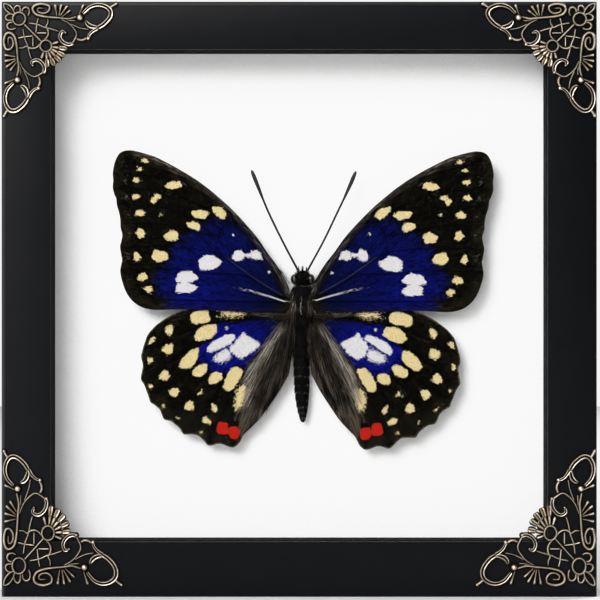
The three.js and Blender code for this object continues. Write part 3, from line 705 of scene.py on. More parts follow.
# ---- Wings -------------------------------------------------------------------------------------
# Four dried wings, each a thin membrane on a fan of veins, covered with scales that give the
# black, blue, cream, white and red. They are drawn in mm from the thorax, outwards and up.
BUTTERFLY = (0.6, 74.8)
WING_ROOT = (1.5, -1.0)
WING_MESH = 0.34
WING_ROW_SHARE = 0.87
LATTICE_JITTER = 0.05
LATTICE_CLEARANCE = 0.55
LATTICE_SEED = 7
ROUTE_STEP = 0.4
STREAK_STEP = 0.3
VEIN_THINNING = 0.10
VEIN_RISE = 0.06
VEIN_REACH = 0.17
MEMBRANE_SINK = 0.12
MEMBRANE_REACH = 1.3
RIM_REACH = 0.8
FRINGE_WIDTH = 0.5
FOLD_SOFT = 1.6
WING_THICKNESS = 0.18
WING_TILT = math.tan(math.radians(1.2))
FOREWING = {
    "outline": [
        (2.4, 0.6), (2.8, 3.6), (4.4, 6.6), (6.0, 9.2), (8.5, 12.4), (10.9, 15.8), (13.8, 19.1),
        (16.3, 21.7), (18.8, 24.1), (22.6, 27.3), (25.1, 29.2), (27.6, 30.9), (31.6, 33.2), (35.3, 35.1),
        (37.9, 36.3), (40.5, 37.1), (43.0, 37.7), (44.5, 37.9), (46.2, 37.7), (47.4, 37.0), (48.2, 35.6),
        (48.7, 34.0), (49.0, 31.8), (48.8, 30.0), (48.9, 28.2), (48.4, 26.3), (47.9, 25.3), (47.7, 23.6),
        (47.0, 21.4), (46.7, 19.7), (46.6, 17.9), (46.1, 16.0), (46.3, 14.5), (46.6, 12.9), (46.2, 10.6),
        (46.0, 9.5), (46.4, 6.8), (46.0, 4.6), (45.3, 2.5), (44.4, 0.7), (43.1, -0.9), (41.3, -2.2),
        (39.2, -2.9), (36.5, -3.1), (32.8, -2.9), (29.0, -2.8), (20.0, -2.9), (12.4, -3.1), (5.2, -2.8),
        (2.6, -2.2),
    ],
    "front_edge": [
        (2.4, 2.6), (4.4, 6.6), (8.5, 12.4), (13.8, 19.1), (18.8, 24.1), (25.1, 29.2), (31.6, 33.2),
        (37.9, 36.3), (43.0, 37.7),
    ],
    "veins": [
        [(5.2, 7.1), (9.8, 13.8), (16.2, 20.7), (23.9, 27.3), (27.7, 30.4)],
        [(12.4, 15.8), (20.0, 23.5), (29.0, 30.6), (35.3, 34.2)],
        [(4.0, 3.3), (8.5, 10.0), (12.4, 14.8), (16.5, 18.9), (19.0, 19.9)],
        [(16.5, 18.9), (18.0, 21.9), (25.1, 28.6), (32.8, 32.9), (40.5, 36.1), (45.0, 37.6)],
        [(25.1, 28.6), (32.8, 31.8), (41.7, 34.1), (48.4, 34.5)],
        [(18.0, 21.9), (21.6, 24.8), (27.7, 28.1), (35.3, 31.0), (42.5, 31.5), (49.0, 31.4)],
        [(19.0, 19.9), (23.4, 22.7), (29.0, 25.3), (35.3, 27.3), (42.5, 28.1), (48.9, 27.9)],
        [(20.5, 18.1), (24.4, 20.0), (28.5, 20.7), (32.8, 22.7), (39.2, 23.7), (47.7, 23.9)],
        [(21.3, 16.3), (25.1, 16.8), (29.7, 17.6), (35.3, 18.9), (41.7, 19.1), (46.7, 19.1)],
        [(3.7, 0.8), (6.5, 1.8), (11.1, 4.8), (15.7, 8.2), (19.5, 11.0), (21.6, 13.5), (21.3, 16.3)],
        [(18.0, 10.0), (21.3, 11.9), (25.1, 12.6), (35.3, 13.3), (41.7, 13.1), (46.6, 12.9)],
        [(12.4, 5.9), (17.5, 6.6), (23.9, 6.6), (30.2, 7.4), (36.6, 7.5), (46.4, 6.8)],
        [(4.2, -0.3), (20.0, -0.4), (35.3, -0.4), (44.0, 0.3)],
        [(19.0, 19.9), (20.5, 18.1), (21.3, 16.3)],
    ],
    "blue": [
        (4.7, 1.0), (8.5, 9.7), (11.1, 13.3), (14.4, 17.1), (18.0, 19.9), (22.1, 20.3), (24.6, 19.4),
        (25.6, 17.6), (29.2, 16.1), (31.0, 14.3), (32.8, 12.3), (33.2, 9.3), (35.0, 7.5), (36.1, 5.7),
        (36.4, 3.6), (35.7, 1.5), (32.8, 0.0), (32.2, -2.2), (20.0, -2.8), (7.3, -2.8),
    ],
    "blue_soft": 1.8,
    "threads": [[(4.5, 1.6), (11.1, 5.3), (15.7, 8.4), (19.5, 11.2)]],
    "fold": [],
    "pale_hair": [],
}
HINDWING = {
    "outline": [
        (2.4, -2.0), (3.6, 0.6), (14.0, 1.0), (24.0, -0.4), (29.0, -2.8), (31.0, -3.6), (33.6, -4.9),
        (35.3, -6.1), (37.3, -7.7), (39.0, -9.8), (39.6, -11.4), (40.2, -13.4), (40.6, -15.6),
        (40.1, -17.6), (40.2, -19.0), (40.5, -20.7), (40.4, -21.7), (39.5, -23.0), (38.9, -24.6),
        (38.3, -26.0), (37.8, -27.3), (36.5, -28.1), (35.3, -29.2), (34.8, -30.4), (34.1, -31.6),
        (32.5, -32.0), (31.1, -32.9), (30.0, -33.9), (29.0, -35.2), (27.1, -35.2), (25.3, -35.5),
        (24.0, -36.6), (22.8, -37.8), (21.8, -37.9), (20.0, -37.4), (18.7, -37.6), (17.4, -38.1),
        (16.1, -38.2), (14.9, -37.3), (14.2, -36.0), (13.6, -34.8), (12.4, -33.6), (9.7, -30.7),
        (7.2, -27.1), (4.7, -23.2), (3.4, -20.7), (2.4, -18.4), (1.8, -12.8), (1.8, -7.0),
    ],
    "front_edge": [(4.0, -3.2), (14.0, -3.3), (24.0, -3.2), (31.0, -3.6)],
    "veins": [
        [(3.7, -4.1), (11.1, -4.6), (20.0, -3.1), (29.0, -4.6), (35.3, -6.6), (38.9, -9.7)],
        [(12.4, -5.1), (18.8, -5.6), (25.6, -7.4), (30.2, -9.2), (34.1, -11.2), (37.9, -13.8),
         (40.6, -15.6)],
        [(22.1, -9.7), (22.8, -11.0), (25.9, -11.5), (29.7, -14.0), (33.8, -16.8), (38.4, -19.4),
         (40.5, -21.2)],
        [(24.4, -14.5), (27.2, -17.9), (30.2, -20.7), (33.0, -22.3), (36.9, -25.0), (38.4, -26.3)],
        [(22.6, -16.8), (25.1, -21.4), (28.2, -24.8), (31.5, -28.1), (34.3, -31.1)],
        [(19.0, -18.1), (19.8, -21.4), (21.3, -24.8), (23.9, -28.6), (26.4, -31.9), (29.0, -35.1)],
        [(14.2, -17.9), (15.7, -21.9), (18.2, -26.8), (20.8, -31.9), (22.8, -37.8)],
        [(4.2, -7.1), (6.8, -10.2), (9.8, -15.8), (12.4, -23.0), (14.2, -29.3), (15.4, -34.5),
         (16.0, -38.0)],
        [(3.2, -7.7), (4.7, -12.8), (7.8, -20.9), (11.1, -28.8), (12.9, -33.2)],
        [(3.7, -5.1), (12.4, -5.1), (18.0, -6.6), (22.1, -9.7)],
        [(4.2, -7.1), (8.5, -11.5), (12.4, -15.8), (14.2, -17.9), (19.0, -18.1), (22.6, -16.8),
         (24.4, -14.5), (22.8, -11.0)],
    ],
    "blue": [
        (6.3, -4.8), (8.5, -5.4), (11.1, -5.6), (15.4, -6.4), (20.8, -7.1), (24.6, -11.7), (25.6, -13.3),
        (25.6, -15.8), (23.6, -16.6), (22.8, -18.4), (18.8, -18.9), (15.4, -16.8), (13.9, -17.4),
        (12.4, -14.8), (7.3, -8.9), (6.3, -6.6),
    ],
    "blue_soft": 0.8,
    "threads": [[(4.8, -6.5), (7.3, -5.1)]],
    "fold": [
        (4.7, -6.4), (7.3, -9.7), (9.8, -13.3), (12.4, -16.8), (14.2, -20.7), (15.6, -25.5), (15.8, -28.6),
        (14.6, -33.0), (13.0, -34.4), (7.2, -27.6), (2.0, -18.6), (1.4, -8.0),
    ],
    "pale_hair": [(5.0, -7.6), (8.6, -12.6), (11.4, -17.4), (13.2, -22.0), (14.2, -26.5)],
}
# Each mark is an oval: its middle, width, height, tilt in degrees and how soft its edge is.
FOREWING_RIGHT_CREAM = [
    (40.3, 35.1, 1.8, 0.9, 0, 0.2), (41.7, 33.0, 1.5, 0.8, 0, 0.2), (42.1, 30.0, 1.8, 1.3, 0, 0.2),
    (42.2, 26.0, 2.0, 1.4, 0, 0.2), (40.6, 21.6, 2.5, 1.8, 0, 0.2), (40.2, 16.3, 2.3, 2.2, 0, 0.2),
    (41.5, 10.3, 1.7, 2.2, 0, 0.2), (39.8, 5.0, 2.6, 1.9, 0, 0.2), (38.0, 1.9, 2.3, 1.5, 0, 0.2),
    (32.9, 29.0, 4.3, 1.9, -10, 0.15), (36.4, 26.0, 1.9, 1.3, 0, 0.2), (37.4, 25.0, 1.7, 1.7, 0, 0.2),
    (35.5, 21.6, 0.7, 0.6, 0, 0.2), (20.7, 22.2, 4.5, 2.1, 38, 0.15), (25.8, 21.6, 4.3, 2.2, 8, 0.15),
    (27.3, 18.6, 3.6, 2.0, 12, 0.15), (32.8, 15.8, 3.8, 2.6, 0, 0.15), (35.5, 10.5, 4.0, 3.1, 0, 0.15),
]
FOREWING_RIGHT_WHITE = [
    (23.0, 9.1, 5.5, 3.9, 0, 0.15), (28.7, 5.1, 5.7, 3.0, 0, 0.15), (28.4, 2.4, 5.0, 3.0, 0, 0.15),
    (11.4, 11.4, 2.6, 2.4, 0, 0.15), (10.6, 11.0, 2.0, 1.2, 30, 0.15), (13.5, 11.5, 2.6, 0.8, 0, 0.15),
    (15.6, 11.3, 2.6, 3.0, 0, 0.15), (7.8, 6.9, 0.5, 0.5, 0, 0.15), (17.2, 16.8, 0.3, 0.3, 0, 0.2),
]
FOREWING_LEFT_CREAM = [
    (40.8, 35.2, 1.9, 0.9, 0, 0.2), (42.0, 33.1, 1.4, 0.8, 0, 0.2), (42.8, 30.2, 1.7, 1.2, 0, 0.2),
    (42.9, 26.0, 2.0, 1.3, 0, 0.2), (41.7, 21.7, 2.4, 1.7, 0, 0.2), (41.4, 16.6, 2.3, 2.2, 0, 0.2),
    (42.2, 10.4, 1.7, 2.2, 0, 0.2), (40.6, 5.3, 2.4, 1.9, 0, 0.2), (39.0, 2.2, 2.2, 1.5, 0, 0.2),
    (33.2, 29.2, 4.3, 1.9, -10, 0.15), (37.3, 26.1, 1.9, 1.3, 0, 0.2), (38.3, 25.2, 1.6, 1.6, 0, 0.2),
    (36.3, 21.6, 0.7, 0.6, 0, 0.2), (21.2, 22.5, 4.5, 2.1, 38, 0.15), (26.2, 21.9, 4.3, 2.2, 8, 0.15),
    (27.7, 18.9, 3.6, 2.0, 12, 0.15), (33.4, 16.1, 3.8, 2.6, 0, 0.15), (36.3, 10.8, 4.0, 3.1, 0, 0.15),
]
FOREWING_LEFT_WHITE = [
    (23.5, 9.4, 5.6, 3.8, 0, 0.15), (29.3, 5.5, 5.6, 2.9, 0, 0.15), (29.4, 2.8, 5.1, 2.8, 0, 0.15),
    (11.6, 11.8, 2.6, 2.1, 0, 0.15), (10.7, 11.2, 1.8, 1.1, 30, 0.15), (13.5, 11.6, 2.6, 0.8, 0, 0.15),
    (16.0, 11.4, 3.0, 2.7, 0, 0.15), (8.0, 7.4, 0.5, 0.5, 0, 0.15), (17.4, 16.7, 0.3, 0.3, 0, 0.2),
]
FOREWING_STREAK = [(3.7, -0.1), (7.3, 1.0), (11.1, 2.0), (14.5, 2.8), (17.5, 3.4)]
HINDWING_RIGHT_CREAM = [
    (17.5, -3.8, 4.6, 1.5, 0, 0.7), (33.6, -8.5, 1.8, 2.6, 25, 0.2), (38.3, -11.5, 1.2, 1.9, 30, 0.2),
    (33.9, -13.8, 2.5, 2.9, 20, 0.2), (38.8, -17.1, 0.9, 1.4, 0, 0.2), (34.6, -20.2, 2.4, 2.7, 0, 0.2),
    (31.6, -24.1, 2.3, 2.4, 0, 0.2), (27.7, -27.7, 2.5, 2.4, 0, 0.2), (21.3, -28.1, 1.3, 2.0, -35, 0.2),
    (23.2, -31.1, 2.6, 1.5, 20, 0.2), (24.8, -24.1, 1.3, 0.7, 45, 0.3), (37.9, -23.2, 0.5, 0.9, -30, 0.2),
    (34.6, -27.8, 0.4, 1.0, -40, 0.25), (30.0, -31.3, 0.7, 0.4, 40, 0.2), (24.4, -33.9, 0.9, 0.3, 10, 0.3),
]
HINDWING_LEFT_CREAM = [
    (17.8, -3.8, 5.0, 1.4, 0, 0.7), (33.6, -8.5, 1.8, 2.6, 25, 0.2), (38.0, -11.4, 1.2, 1.9, 30, 0.2),
    (33.7, -13.5, 2.5, 2.8, 20, 0.2), (38.3, -16.6, 1.2, 1.7, 25, 0.2), (34.4, -20.3, 2.4, 2.7, 0, 0.2),
    (31.8, -24.5, 2.3, 2.3, 0, 0.2), (27.8, -27.9, 2.5, 2.3, 0, 0.2), (21.4, -28.3, 1.3, 2.0, -35, 0.2),
    (23.3, -31.6, 2.4, 1.4, 20, 0.2), (25.0, -24.4, 0.9, 0.9, 45, 0.3), (37.9, -23.3, 0.7, 1.0, -30, 0.25),
    (34.5, -28.1, 0.5, 0.8, 0, 0.25), (30.5, -31.1, 0.8, 0.4, 30, 0.25), (24.8, -34.7, 0.9, 0.3, 0, 0.3),
]
# The larger patches of the hindwing are drawn by their corners.
HINDWING_RIGHT_BLOCKS = [
    [(22.6, -3.8), (23.4, -3.1), (24.9, -3.0), (26.8, -3.6), (28.2, -4.5), (28.3, -6.0), (27.7, -6.8),
     (26.2, -6.7), (23.9, -6.2), (22.4, -5.2)],
    [(20.8, -8.5), (21.4, -7.1), (22.6, -6.9), (24.5, -7.2), (26.2, -8.5), (26.8, -9.8), (26.2, -10.7),
     (24.7, -11.0), (22.6, -10.2), (20.8, -9.1)],
    [(25.6, -14.9), (25.9, -13.2), (26.8, -13.0), (28.5, -13.8), (30.0, -15.5), (30.7, -17.0),
     (30.2, -17.9), (29.0, -18.0), (27.5, -17.2), (26.2, -16.0)],
    [(23.1, -17.2), (23.6, -16.7), (24.7, -16.7), (26.2, -17.4), (27.1, -18.3), (26.8, -19.6),
     (26.0, -19.9), (24.5, -19.5), (23.5, -18.5)],
    [(19.3, -19.6), (20.0, -18.9), (21.3, -18.8), (22.4, -19.6), (22.7, -20.8), (22.2, -21.6),
     (21.1, -21.5), (19.9, -21.1), (19.4, -20.3)],
    [(14.1, -18.1), (15.1, -17.6), (16.2, -17.4), (17.3, -18.5), (18.5, -20.4), (19.0, -21.7),
     (18.8, -23.2), (17.3, -23.5), (16.2, -22.1), (15.1, -20.4)],
]
HINDWING_LEFT_BLOCKS = [
    [(28.1, -4.5), (26.9, -3.6), (25.0, -3.2), (23.7, -3.3), (23.7, -4.4), (23.0, -5.2), (24.0, -6.3),
     (26.1, -6.7), (27.6, -6.7), (28.2, -5.6)],
    [(26.9, -9.6), (26.3, -8.3), (24.4, -7.2), (21.8, -6.8), (21.6, -8.8), (22.6, -10.1),
     (24.7, -10.9), (26.4, -11.1), (27.0, -10.3)],
    [(30.7, -17.5), (29.9, -15.7), (28.5, -14.2), (26.4, -13.0), (25.9, -13.5), (26.0, -15.0),
     (26.5, -16.5), (27.5, -17.8), (29.2, -18.4), (30.5, -18.1)],
    [(27.4, -19.5), (26.6, -18.0), (25.4, -17.3), (23.7, -17.0), (23.6, -18.3), (24.2, -19.6),
     (25.5, -20.3), (27.0, -20.1)],
    [(23.1, -21.1), (22.7, -20.0), (21.7, -19.1), (20.2, -19.1), (19.6, -20.1), (20.1, -21.2),
     (21.6, -21.9), (22.7, -22.0)],
    [(19.2, -22.2), (18.6, -20.5), (17.6, -18.3), (16.4, -17.5), (15.3, -17.8), (14.3, -18.7),
     (14.8, -20.0), (15.8, -21.7), (17.1, -23.5), (18.1, -23.7), (19.1, -23.1)],
]
# These lie under the long hair of the fold.
HINDWING_RIGHT_VEILED = [
    [(13.3, -23.2), (14.1, -22.5), (15.4, -23.0), (16.3, -24.7), (16.3, -26.4), (15.6, -28.0),
     (14.8, -28.6), (14.2, -26.8), (13.6, -25.1)],
]
HINDWING_LEFT_VEILED = [
    [(16.2, -27.3), (15.9, -25.6), (15.8, -23.8), (14.7, -22.5), (13.6, -22.4), (13.3, -23.8),
     (13.8, -25.5), (14.5, -27.3), (15.4, -28.5), (16.0, -28.1)],
]
HINDWING_RIGHT_WHITE = [
    [(10.1, -11.1), (12.0, -10.1), (13.4, -9.4), (14.6, -8.5), (15.4, -10.0), (16.8, -11.3),
     (16.9, -12.4), (16.2, -14.0), (14.7, -15.1), (13.2, -14.7), (11.5, -13.1), (10.3, -11.8)],
    [(16.1, -9.8), (16.8, -9.0), (18.1, -9.3), (20.5, -10.3), (22.2, -11.5), (23.1, -13.0),
     (22.7, -14.0), (21.3, -13.5), (19.6, -12.3), (17.9, -11.1), (16.5, -10.3)],
    [(16.8, -14.1), (17.3, -12.8), (18.1, -12.7), (19.6, -13.5), (21.1, -14.4), (21.4, -15.3),
     (20.0, -16.0), (18.5, -15.6), (17.3, -15.2)],
]
HINDWING_LEFT_WHITE = [
    [(17.9, -12.8), (16.8, -11.5), (15.5, -9.9), (14.7, -8.8), (13.0, -9.8), (10.2, -11.5),
     (11.8, -13.1), (13.5, -14.4), (15.0, -15.3), (16.6, -14.4)],
    [(23.7, -13.3), (23.0, -11.9), (20.9, -10.5), (18.8, -9.4), (17.0, -9.2), (16.9, -10.5),
     (18.3, -11.8), (20.4, -12.9), (22.5, -13.9), (23.5, -13.9)],
    [(21.9, -15.8), (21.2, -14.6), (19.5, -13.4), (18.2, -13.3), (17.8, -14.3), (18.2, -15.6),
     (19.8, -16.3), (21.1, -16.2)],
]
HINDWING_WHITE_DOT = (18.9, -7.55, 0.6, 0.6, 0, 0.14)
HINDWING_RIGHT_RED = [
    [(14.9, -33.3), (15.9, -32.7), (17.4, -32.7), (17.7, -34.0), (17.3, -35.4), (15.7, -35.7),
     (15.0, -34.7)],
    [(18.0, -32.2), (19.0, -31.5), (20.2, -31.6), (20.7, -33.0), (20.5, -34.3), (19.2, -34.6),
     (18.0, -34.4)],
]
HINDWING_LEFT_RED = [
    [(14.7, -33.6), (15.7, -33.0), (17.2, -33.0), (17.5, -34.4), (17.1, -35.7), (15.5, -36.0),
     (14.8, -35.0)],
    [(17.8, -32.5), (18.8, -31.9), (20.1, -32.0), (20.5, -33.3), (20.3, -34.6), (19.0, -34.9),
     (17.8, -34.7)],
]
# Pale grey smudges where the scales are worn near the outer edge of a forewing.
FOREWING_WORN = [
    (45.6, 30.2, 1.0, 1.6, 0, 0.5), (45.5, 25.7, 1.0, 1.8, 0, 0.5), (44.7, 21.2, 0.8, 1.4, 0, 0.5),
    (44.6, 16.8, 1.0, 1.6, 0, 0.5), (44.8, 10.4, 0.9, 2.0, 0, 0.5), (44.4, 4.9, 0.8, 1.4, 0, 0.5),
    (46.4, 34.2, 0.9, 1.0, 0, 0.5), (30.5, 29.6, 1.6, 0.5, 20, 0.5), (33.8, 27.0, 1.8, 0.4, 5, 0.5),
]
# A cover is never further than this from a mark's edge, in widths of its soft edge.
STRONGEST = 8.0


def oval_cover(points, ovals):
    """How far inside the nearest oval each point is, in widths of the oval's soft edge."""
    cover = np.full(len(points), -STRONGEST)
    for x, y, width, height, tilt, soft in ovals:
        angle = math.radians(tilt)
        across = (points[:, 0] - x) * math.cos(angle) + (points[:, 1] - y) * math.sin(angle)
        up = (points[:, 1] - y) * math.cos(angle) - (points[:, 0] - x) * math.sin(angle)
        turn = np.arctan2(up / height, across / width)
        waves = 0.06 * np.sin(2 * turn + 3 * y) + 0.07 * np.sin(3 * turn + x)
        uneven = 1 + waves + 0.05 * np.sin(5 * turn + 2 * y)
        near = np.hypot(across / (width / 2), up / (height / 2)) / uneven + 1e-6
        slope = np.hypot(across / (width / 2) ** 2, up / (height / 2) ** 2) + 1e-6
        cover = np.maximum(cover, near * (1 - near) / slope / soft)
    return np.clip(cover, -STRONGEST, STRONGEST)


def line_distance(points, route):
    """Distance in mm from each point to a route, and how far along the route that is."""
    best = np.full(len(points), 1e9)
    share = np.zeros(len(points))
    for index, (start, end) in enumerate(zip(route[:-1], route[1:])):
        start = np.asarray(start, float)
        step = np.asarray(end, float) - start
        along = np.clip((points - start) @ step / max(step @ step, 1e-12), 0, 1)
        away = np.linalg.norm(points - start - along[:, None] * step, axis=1)
        nearer = away < best
        best[nearer] = away[nearer]
        share[nearer] = (index + along[nearer]) / (len(route) - 1)
    return best, share


def inside_distance(points, corners):
    """Distance in mm to the edge of a closed shape, counted as positive inside it."""
    corners = np.asarray(corners, float)
    away, _ = line_distance(points, np.vstack([corners, corners[:1]]))
    inside = np.zeros(len(points), bool)
    for (x0, y0), (x1, y1) in zip(corners, np.roll(corners, -1, axis=0)):
        if y0 == y1:
            continue
        crosses = (y0 > points[:, 1]) != (y1 > points[:, 1])
        inside ^= crosses & (points[:, 0] < (x1 - x0) * (points[:, 1] - y0) / (y1 - y0) + x0)
    return np.where(inside, away, -away)


def patch_cover(points, patches, soft):
    """Like oval_cover, for patches drawn by their corners."""
    cover = np.full(len(points), -STRONGEST)
    for corners in patches:
        cover = np.maximum(cover, inside_distance(points, smooth_path(corners, ROUTE_STEP, True)) / soft)
    return np.clip(cover, -STRONGEST, STRONGEST)


def wing_lattice(outline):
    """A fine net of triangles over one wing."""
    edge = smooth_path(outline, WING_MESH, True)
    chance = np.random.default_rng(LATTICE_SEED)
    low = edge.min(axis=0)
    high = edge.max(axis=0)
    rows = np.arange(low[1], high[1], WING_MESH * WING_ROW_SHARE)
    columns = np.arange(low[0], high[0], WING_MESH)
    filling = np.array([
        (x + (row % 2) * WING_MESH / 2, y) for row, y in enumerate(rows) for x in columns
    ])
    filling += chance.uniform(-LATTICE_JITTER, LATTICE_JITTER, filling.shape)
    filling = filling[inside_distance(filling, edge) > LATTICE_CLEARANCE * WING_MESH]
    net = [Vector(point) for point in np.vstack([edge, filling])]
    border = [list(range(len(edge)))]
    points, _, faces, _, _, _ = delaunay_2d_cdt(net, [], border, 1, 1e-5)
    return np.array([tuple(point) for point in points]), [tuple(face) for face in faces]


def wing_values(points, wing, cream, white, red):
    """Everything that the scales and the relief of a wing depend on, for each of its points."""
    veins = np.full(len(points), 1e9)
    for route in wing["veins"]:
        away, share = line_distance(points, smooth_path(route, ROUTE_STEP))
        veins = np.minimum(veins, away + VEIN_THINNING * share)
    threads = np.full(len(points), 1e9)
    for route in wing["threads"]:
        threads = np.minimum(threads, line_distance(points, smooth_path(route, ROUTE_STEP))[0])
    nothing = np.full(len(points), -STRONGEST)
    front, _ = line_distance(points, smooth_path(wing["front_edge"], ROUTE_STEP))
    fold = patch_cover(points, [wing["fold"]], FOLD_SOFT) if wing["fold"] else nothing
    pale = -nothing
    if wing["pale_hair"]:
        pale, _ = line_distance(points, smooth_path(wing["pale_hair"], ROUTE_STEP))
    streak = smooth_path(FOREWING_STREAK, STREAK_STEP)
    streak_away, streak_out = line_distance(points, streak)
    above = np.interp(points[:, 0], streak[:, 0], streak[:, 1]) < points[:, 1]
    streak_off = np.where(above, streak_away, -streak_away) if not wing["fold"] else nothing
    root = points - np.array(WING_ROOT)
    radius = np.hypot(root[:, 0], root[:, 1])
    rim = inside_distance(points, smooth_path(wing["outline"], WING_MESH, True))
    # The blue is painted brighter away from the root and, on a forewing, dimmer towards the front edge, as
    # a painted sheen of its scales.
    if wing["fold"]:
        gloss = np.clip((radius - 7.0) / 9.0, 0.25, 1.0)
        front = front + np.clip((radius - 9.0) * 0.3, 0, 4)
        fringe = np.clip(1 - rim / FRINGE_WIDTH, 0, 1) * np.clip((points[:, 0] - 12.0) / 3.0, 0, 1)
        worn = nothing
    else:
        gloss = np.clip((radius - 6.0) / 38.0, 0.05, 0.5) * np.clip(1.15 - points[:, 1] / 26.0, 0.4, 1.2)
        fringe = np.clip(1 - rim / FRINGE_WIDTH, 0, 1) * np.clip((points[:, 0] - 44.0) / 3.0, 0, 0.4)
        worn = oval_cover(points, FOREWING_WORN)
    return {
        "cream": cream,
        "white": white,
        "red": red,
        "blue": patch_cover(points, [wing["blue"]], wing["blue_soft"]),
        "streak_off": streak_off,
        "streak_out": streak_out,
        "fold": fold,
        "pale": pale,
        "vein": veins,
        "thread": threads,
        "front": front,
        "rim": rim,
        "gloss": gloss,
        "fringe": fringe,
        "worn": worn,
        "radius": radius,
        "angle": np.arctan2(root[:, 1], root[:, 0]),
    }


def wing_height(values):
    """Ridged veins with the membrane sunk between them, in mm."""
    ridge = VEIN_RISE * np.exp(-(values["vein"] / VEIN_REACH) ** 2)
    sunk = MEMBRANE_SINK * (1 - np.exp(-(values["vein"] / MEMBRANE_REACH) ** 2))
    return (ridge - sunk) * np.clip(values["rim"] / RIM_REACH, 0, 1)


def wing_plate(flat, faces, height):
    """Closes the net into a thin plate with an upper and a lower face."""
    count = len(flat)
    upper = np.column_stack([flat, height])
    lower = np.column_stack([flat, height - WING_THICKNESS])
    used = {}
    for a, b, c in faces:
        for edge in ((a, b), (b, c), (c, a)):
            used[edge] = True
    skin = list(faces) + [(count + c, count + b, count + a) for a, b, c in faces]
    for a, b in used:
        if (b, a) not in used:
            skin.append((b, a, count + a, count + b))
    return np.vstack([upper, lower]), skin


wing_finish = Finish("wing_scales", {"Roughness": 0.8, "Specular IOR Level": 0.01})
# The scales are matt and swallow about a third of the light.
WING_LIGHT = 0.66
WING_VALUES = [
    "cream", "white", "red", "blue", "fold", "pale", "worn", "vein", "thread", "front", "rim", "fringe",
    "gloss", "streak_off", "streak_out", "radius", "angle",
]
wing_mark = {name: wing_finish.painted(name) for name in WING_VALUES}


def scale_tone(red, green, blue):
    """The colour of a kind of scales."""
    return tone(red, green, blue, WING_LIGHT)


def along_scales(across, out, strength):
    """Streaks that run out from the root of the wing, as the rows of scales do."""
    sockets = {0: wing_mark["angle"] * across, 1: wing_mark["radius"] * out}
    place = wing_finish.add("ShaderNodeCombineXYZ", None, sockets)
    return wing_finish.contrast(wing_finish.noise(1.0, 3.0, 0.6, place), strength)


wing_streaks = along_scales(55.0, 0.55, 2.8)
wing_teeth = along_scales(110.0, 1.1, 2.6)
wing_pleats = along_scales(18.0, 0.2, 2.6)
wing_dust = wing_finish.contrast(wing_finish.noise(4.0, 2.0, 0.6), 2.6)
wing_ragged = wing_finish.contrast(wing_finish.noise(1.3, 3.0, 0.6), 2.4)


def marked(name, grown=0.0, ragged=1.8, dusty=1.6, toothed=3.0):
    """A mark's cover from 0 to 1, its edge broken up by the rows of scales."""
    edge = (wing_ragged - 0.5) * ragged + (wing_dust - 0.5) * dusty + (wing_teeth - 0.5) * toothed
    return (wing_mark[name] + edge + (0.5 + grown)).held()


def near_line(name, reach):
    """1 on a drawn line, falling to 0 at that reach in mm."""
    return (1.0 - wing_mark[name] * (1.0 / reach)).held()


row_mix = (wing_streaks * 0.6 + wing_teeth * 0.5 - 0.05).held()
black = wing_finish.mix(row_mix, scale_tone(1, 1, 1), scale_tone(17, 16, 11))
brown = wing_finish.mix(row_mix, scale_tone(7, 7, 4), scale_tone(58, 52, 38))
near_rim = (1.0 - wing_mark["rim"] * 0.25).held() * 0.36 + (wing_pleats - 0.55) * 0.7
ground = wing_finish.mix(near_rim.held(), black, brown)

edge_place = {0: wing_mark["front"] * 4.2, 1: wing_mark["radius"] * 0.4}
edge_rows = wing_finish.add("ShaderNodeCombineXYZ", None, edge_place)
edge_streaks = wing_finish.contrast(wing_finish.noise(1.0, 3.0, 0.6, edge_rows), 4.0)
front_brown = wing_finish.mix(edge_streaks, scale_tone(9, 8, 8), scale_tone(112, 103, 97))
front_band = (1.5 - wing_mark["front"] * 0.85).held() * (edge_streaks * 1.2 - 0.05).held()
ground = wing_finish.mix(front_band, ground, front_brown)

blue_row = (wing_streaks * 0.6 + wing_pleats * 0.45 + wing_teeth * 0.3 - 0.26).held()
blue_dim = wing_finish.mix(blue_row, scale_tone(2, 4, 13), scale_tone(12, 19, 58))
blue_bright = wing_finish.mix(blue_row, scale_tone(4, 6, 44), scale_tone(19, 25, 156))
# The brighter blue is a painted sheen, laid on by the gloss value.
blue = wing_finish.mix(wing_mark["gloss"], blue_dim, blue_bright)
blue_rows = (wing_streaks - 0.5) * 0.4 + (wing_pleats - 0.5) * 0.4
blue_edge = (wing_mark["blue"] * 0.5 + blue_rows + 0.5).held()
from_root = (wing_mark["radius"] * 0.3 - 0.75 + (wing_streaks - 0.5) * 0.5).held()
scales = wing_finish.mix(blue_edge * from_root, ground, blue)

vein_dark = near_line("vein", 0.42) * 0.9
scales = wing_finish.mix(vein_dark, scales, scale_tone(1, 1, 2))
thread_pale = near_line("thread", 0.2) * 0.45
scales = wing_finish.mix(thread_pale, scales, scale_tone(96, 88, 84))
worn_cover = (wing_mark["worn"] + (wing_teeth - 0.5) * 5.0 - 0.6).held() * 0.4
scales = wing_finish.mix(worn_cover, scales, scale_tone(110, 104, 94))
fringe_cover = (wing_mark["fringe"] * 1.6 + wing_ragged * 1.2 - 1.1).held()
scales = wing_finish.mix(fringe_cover, scales, scale_tone(120, 114, 100))

streak_gap = wing_mark["streak_off"].most(wing_mark["streak_off"] * -1.0)
streak_half = 0.15 + wing_mark["streak_out"] * 0.3
streak_rows = 1.0 - wing_mark["streak_out"] * (2.3 - wing_streaks * 1.2 - wing_teeth * 0.8)
streak_end = (5.0 - wing_mark["streak_out"] * 5.0).held()
streak_cover = ((streak_half - streak_gap) * 5.0 + 0.3).held() * streak_rows.held() * streak_end
scales = wing_finish.mix(streak_cover, scales, scale_tone(226, 224, 224))

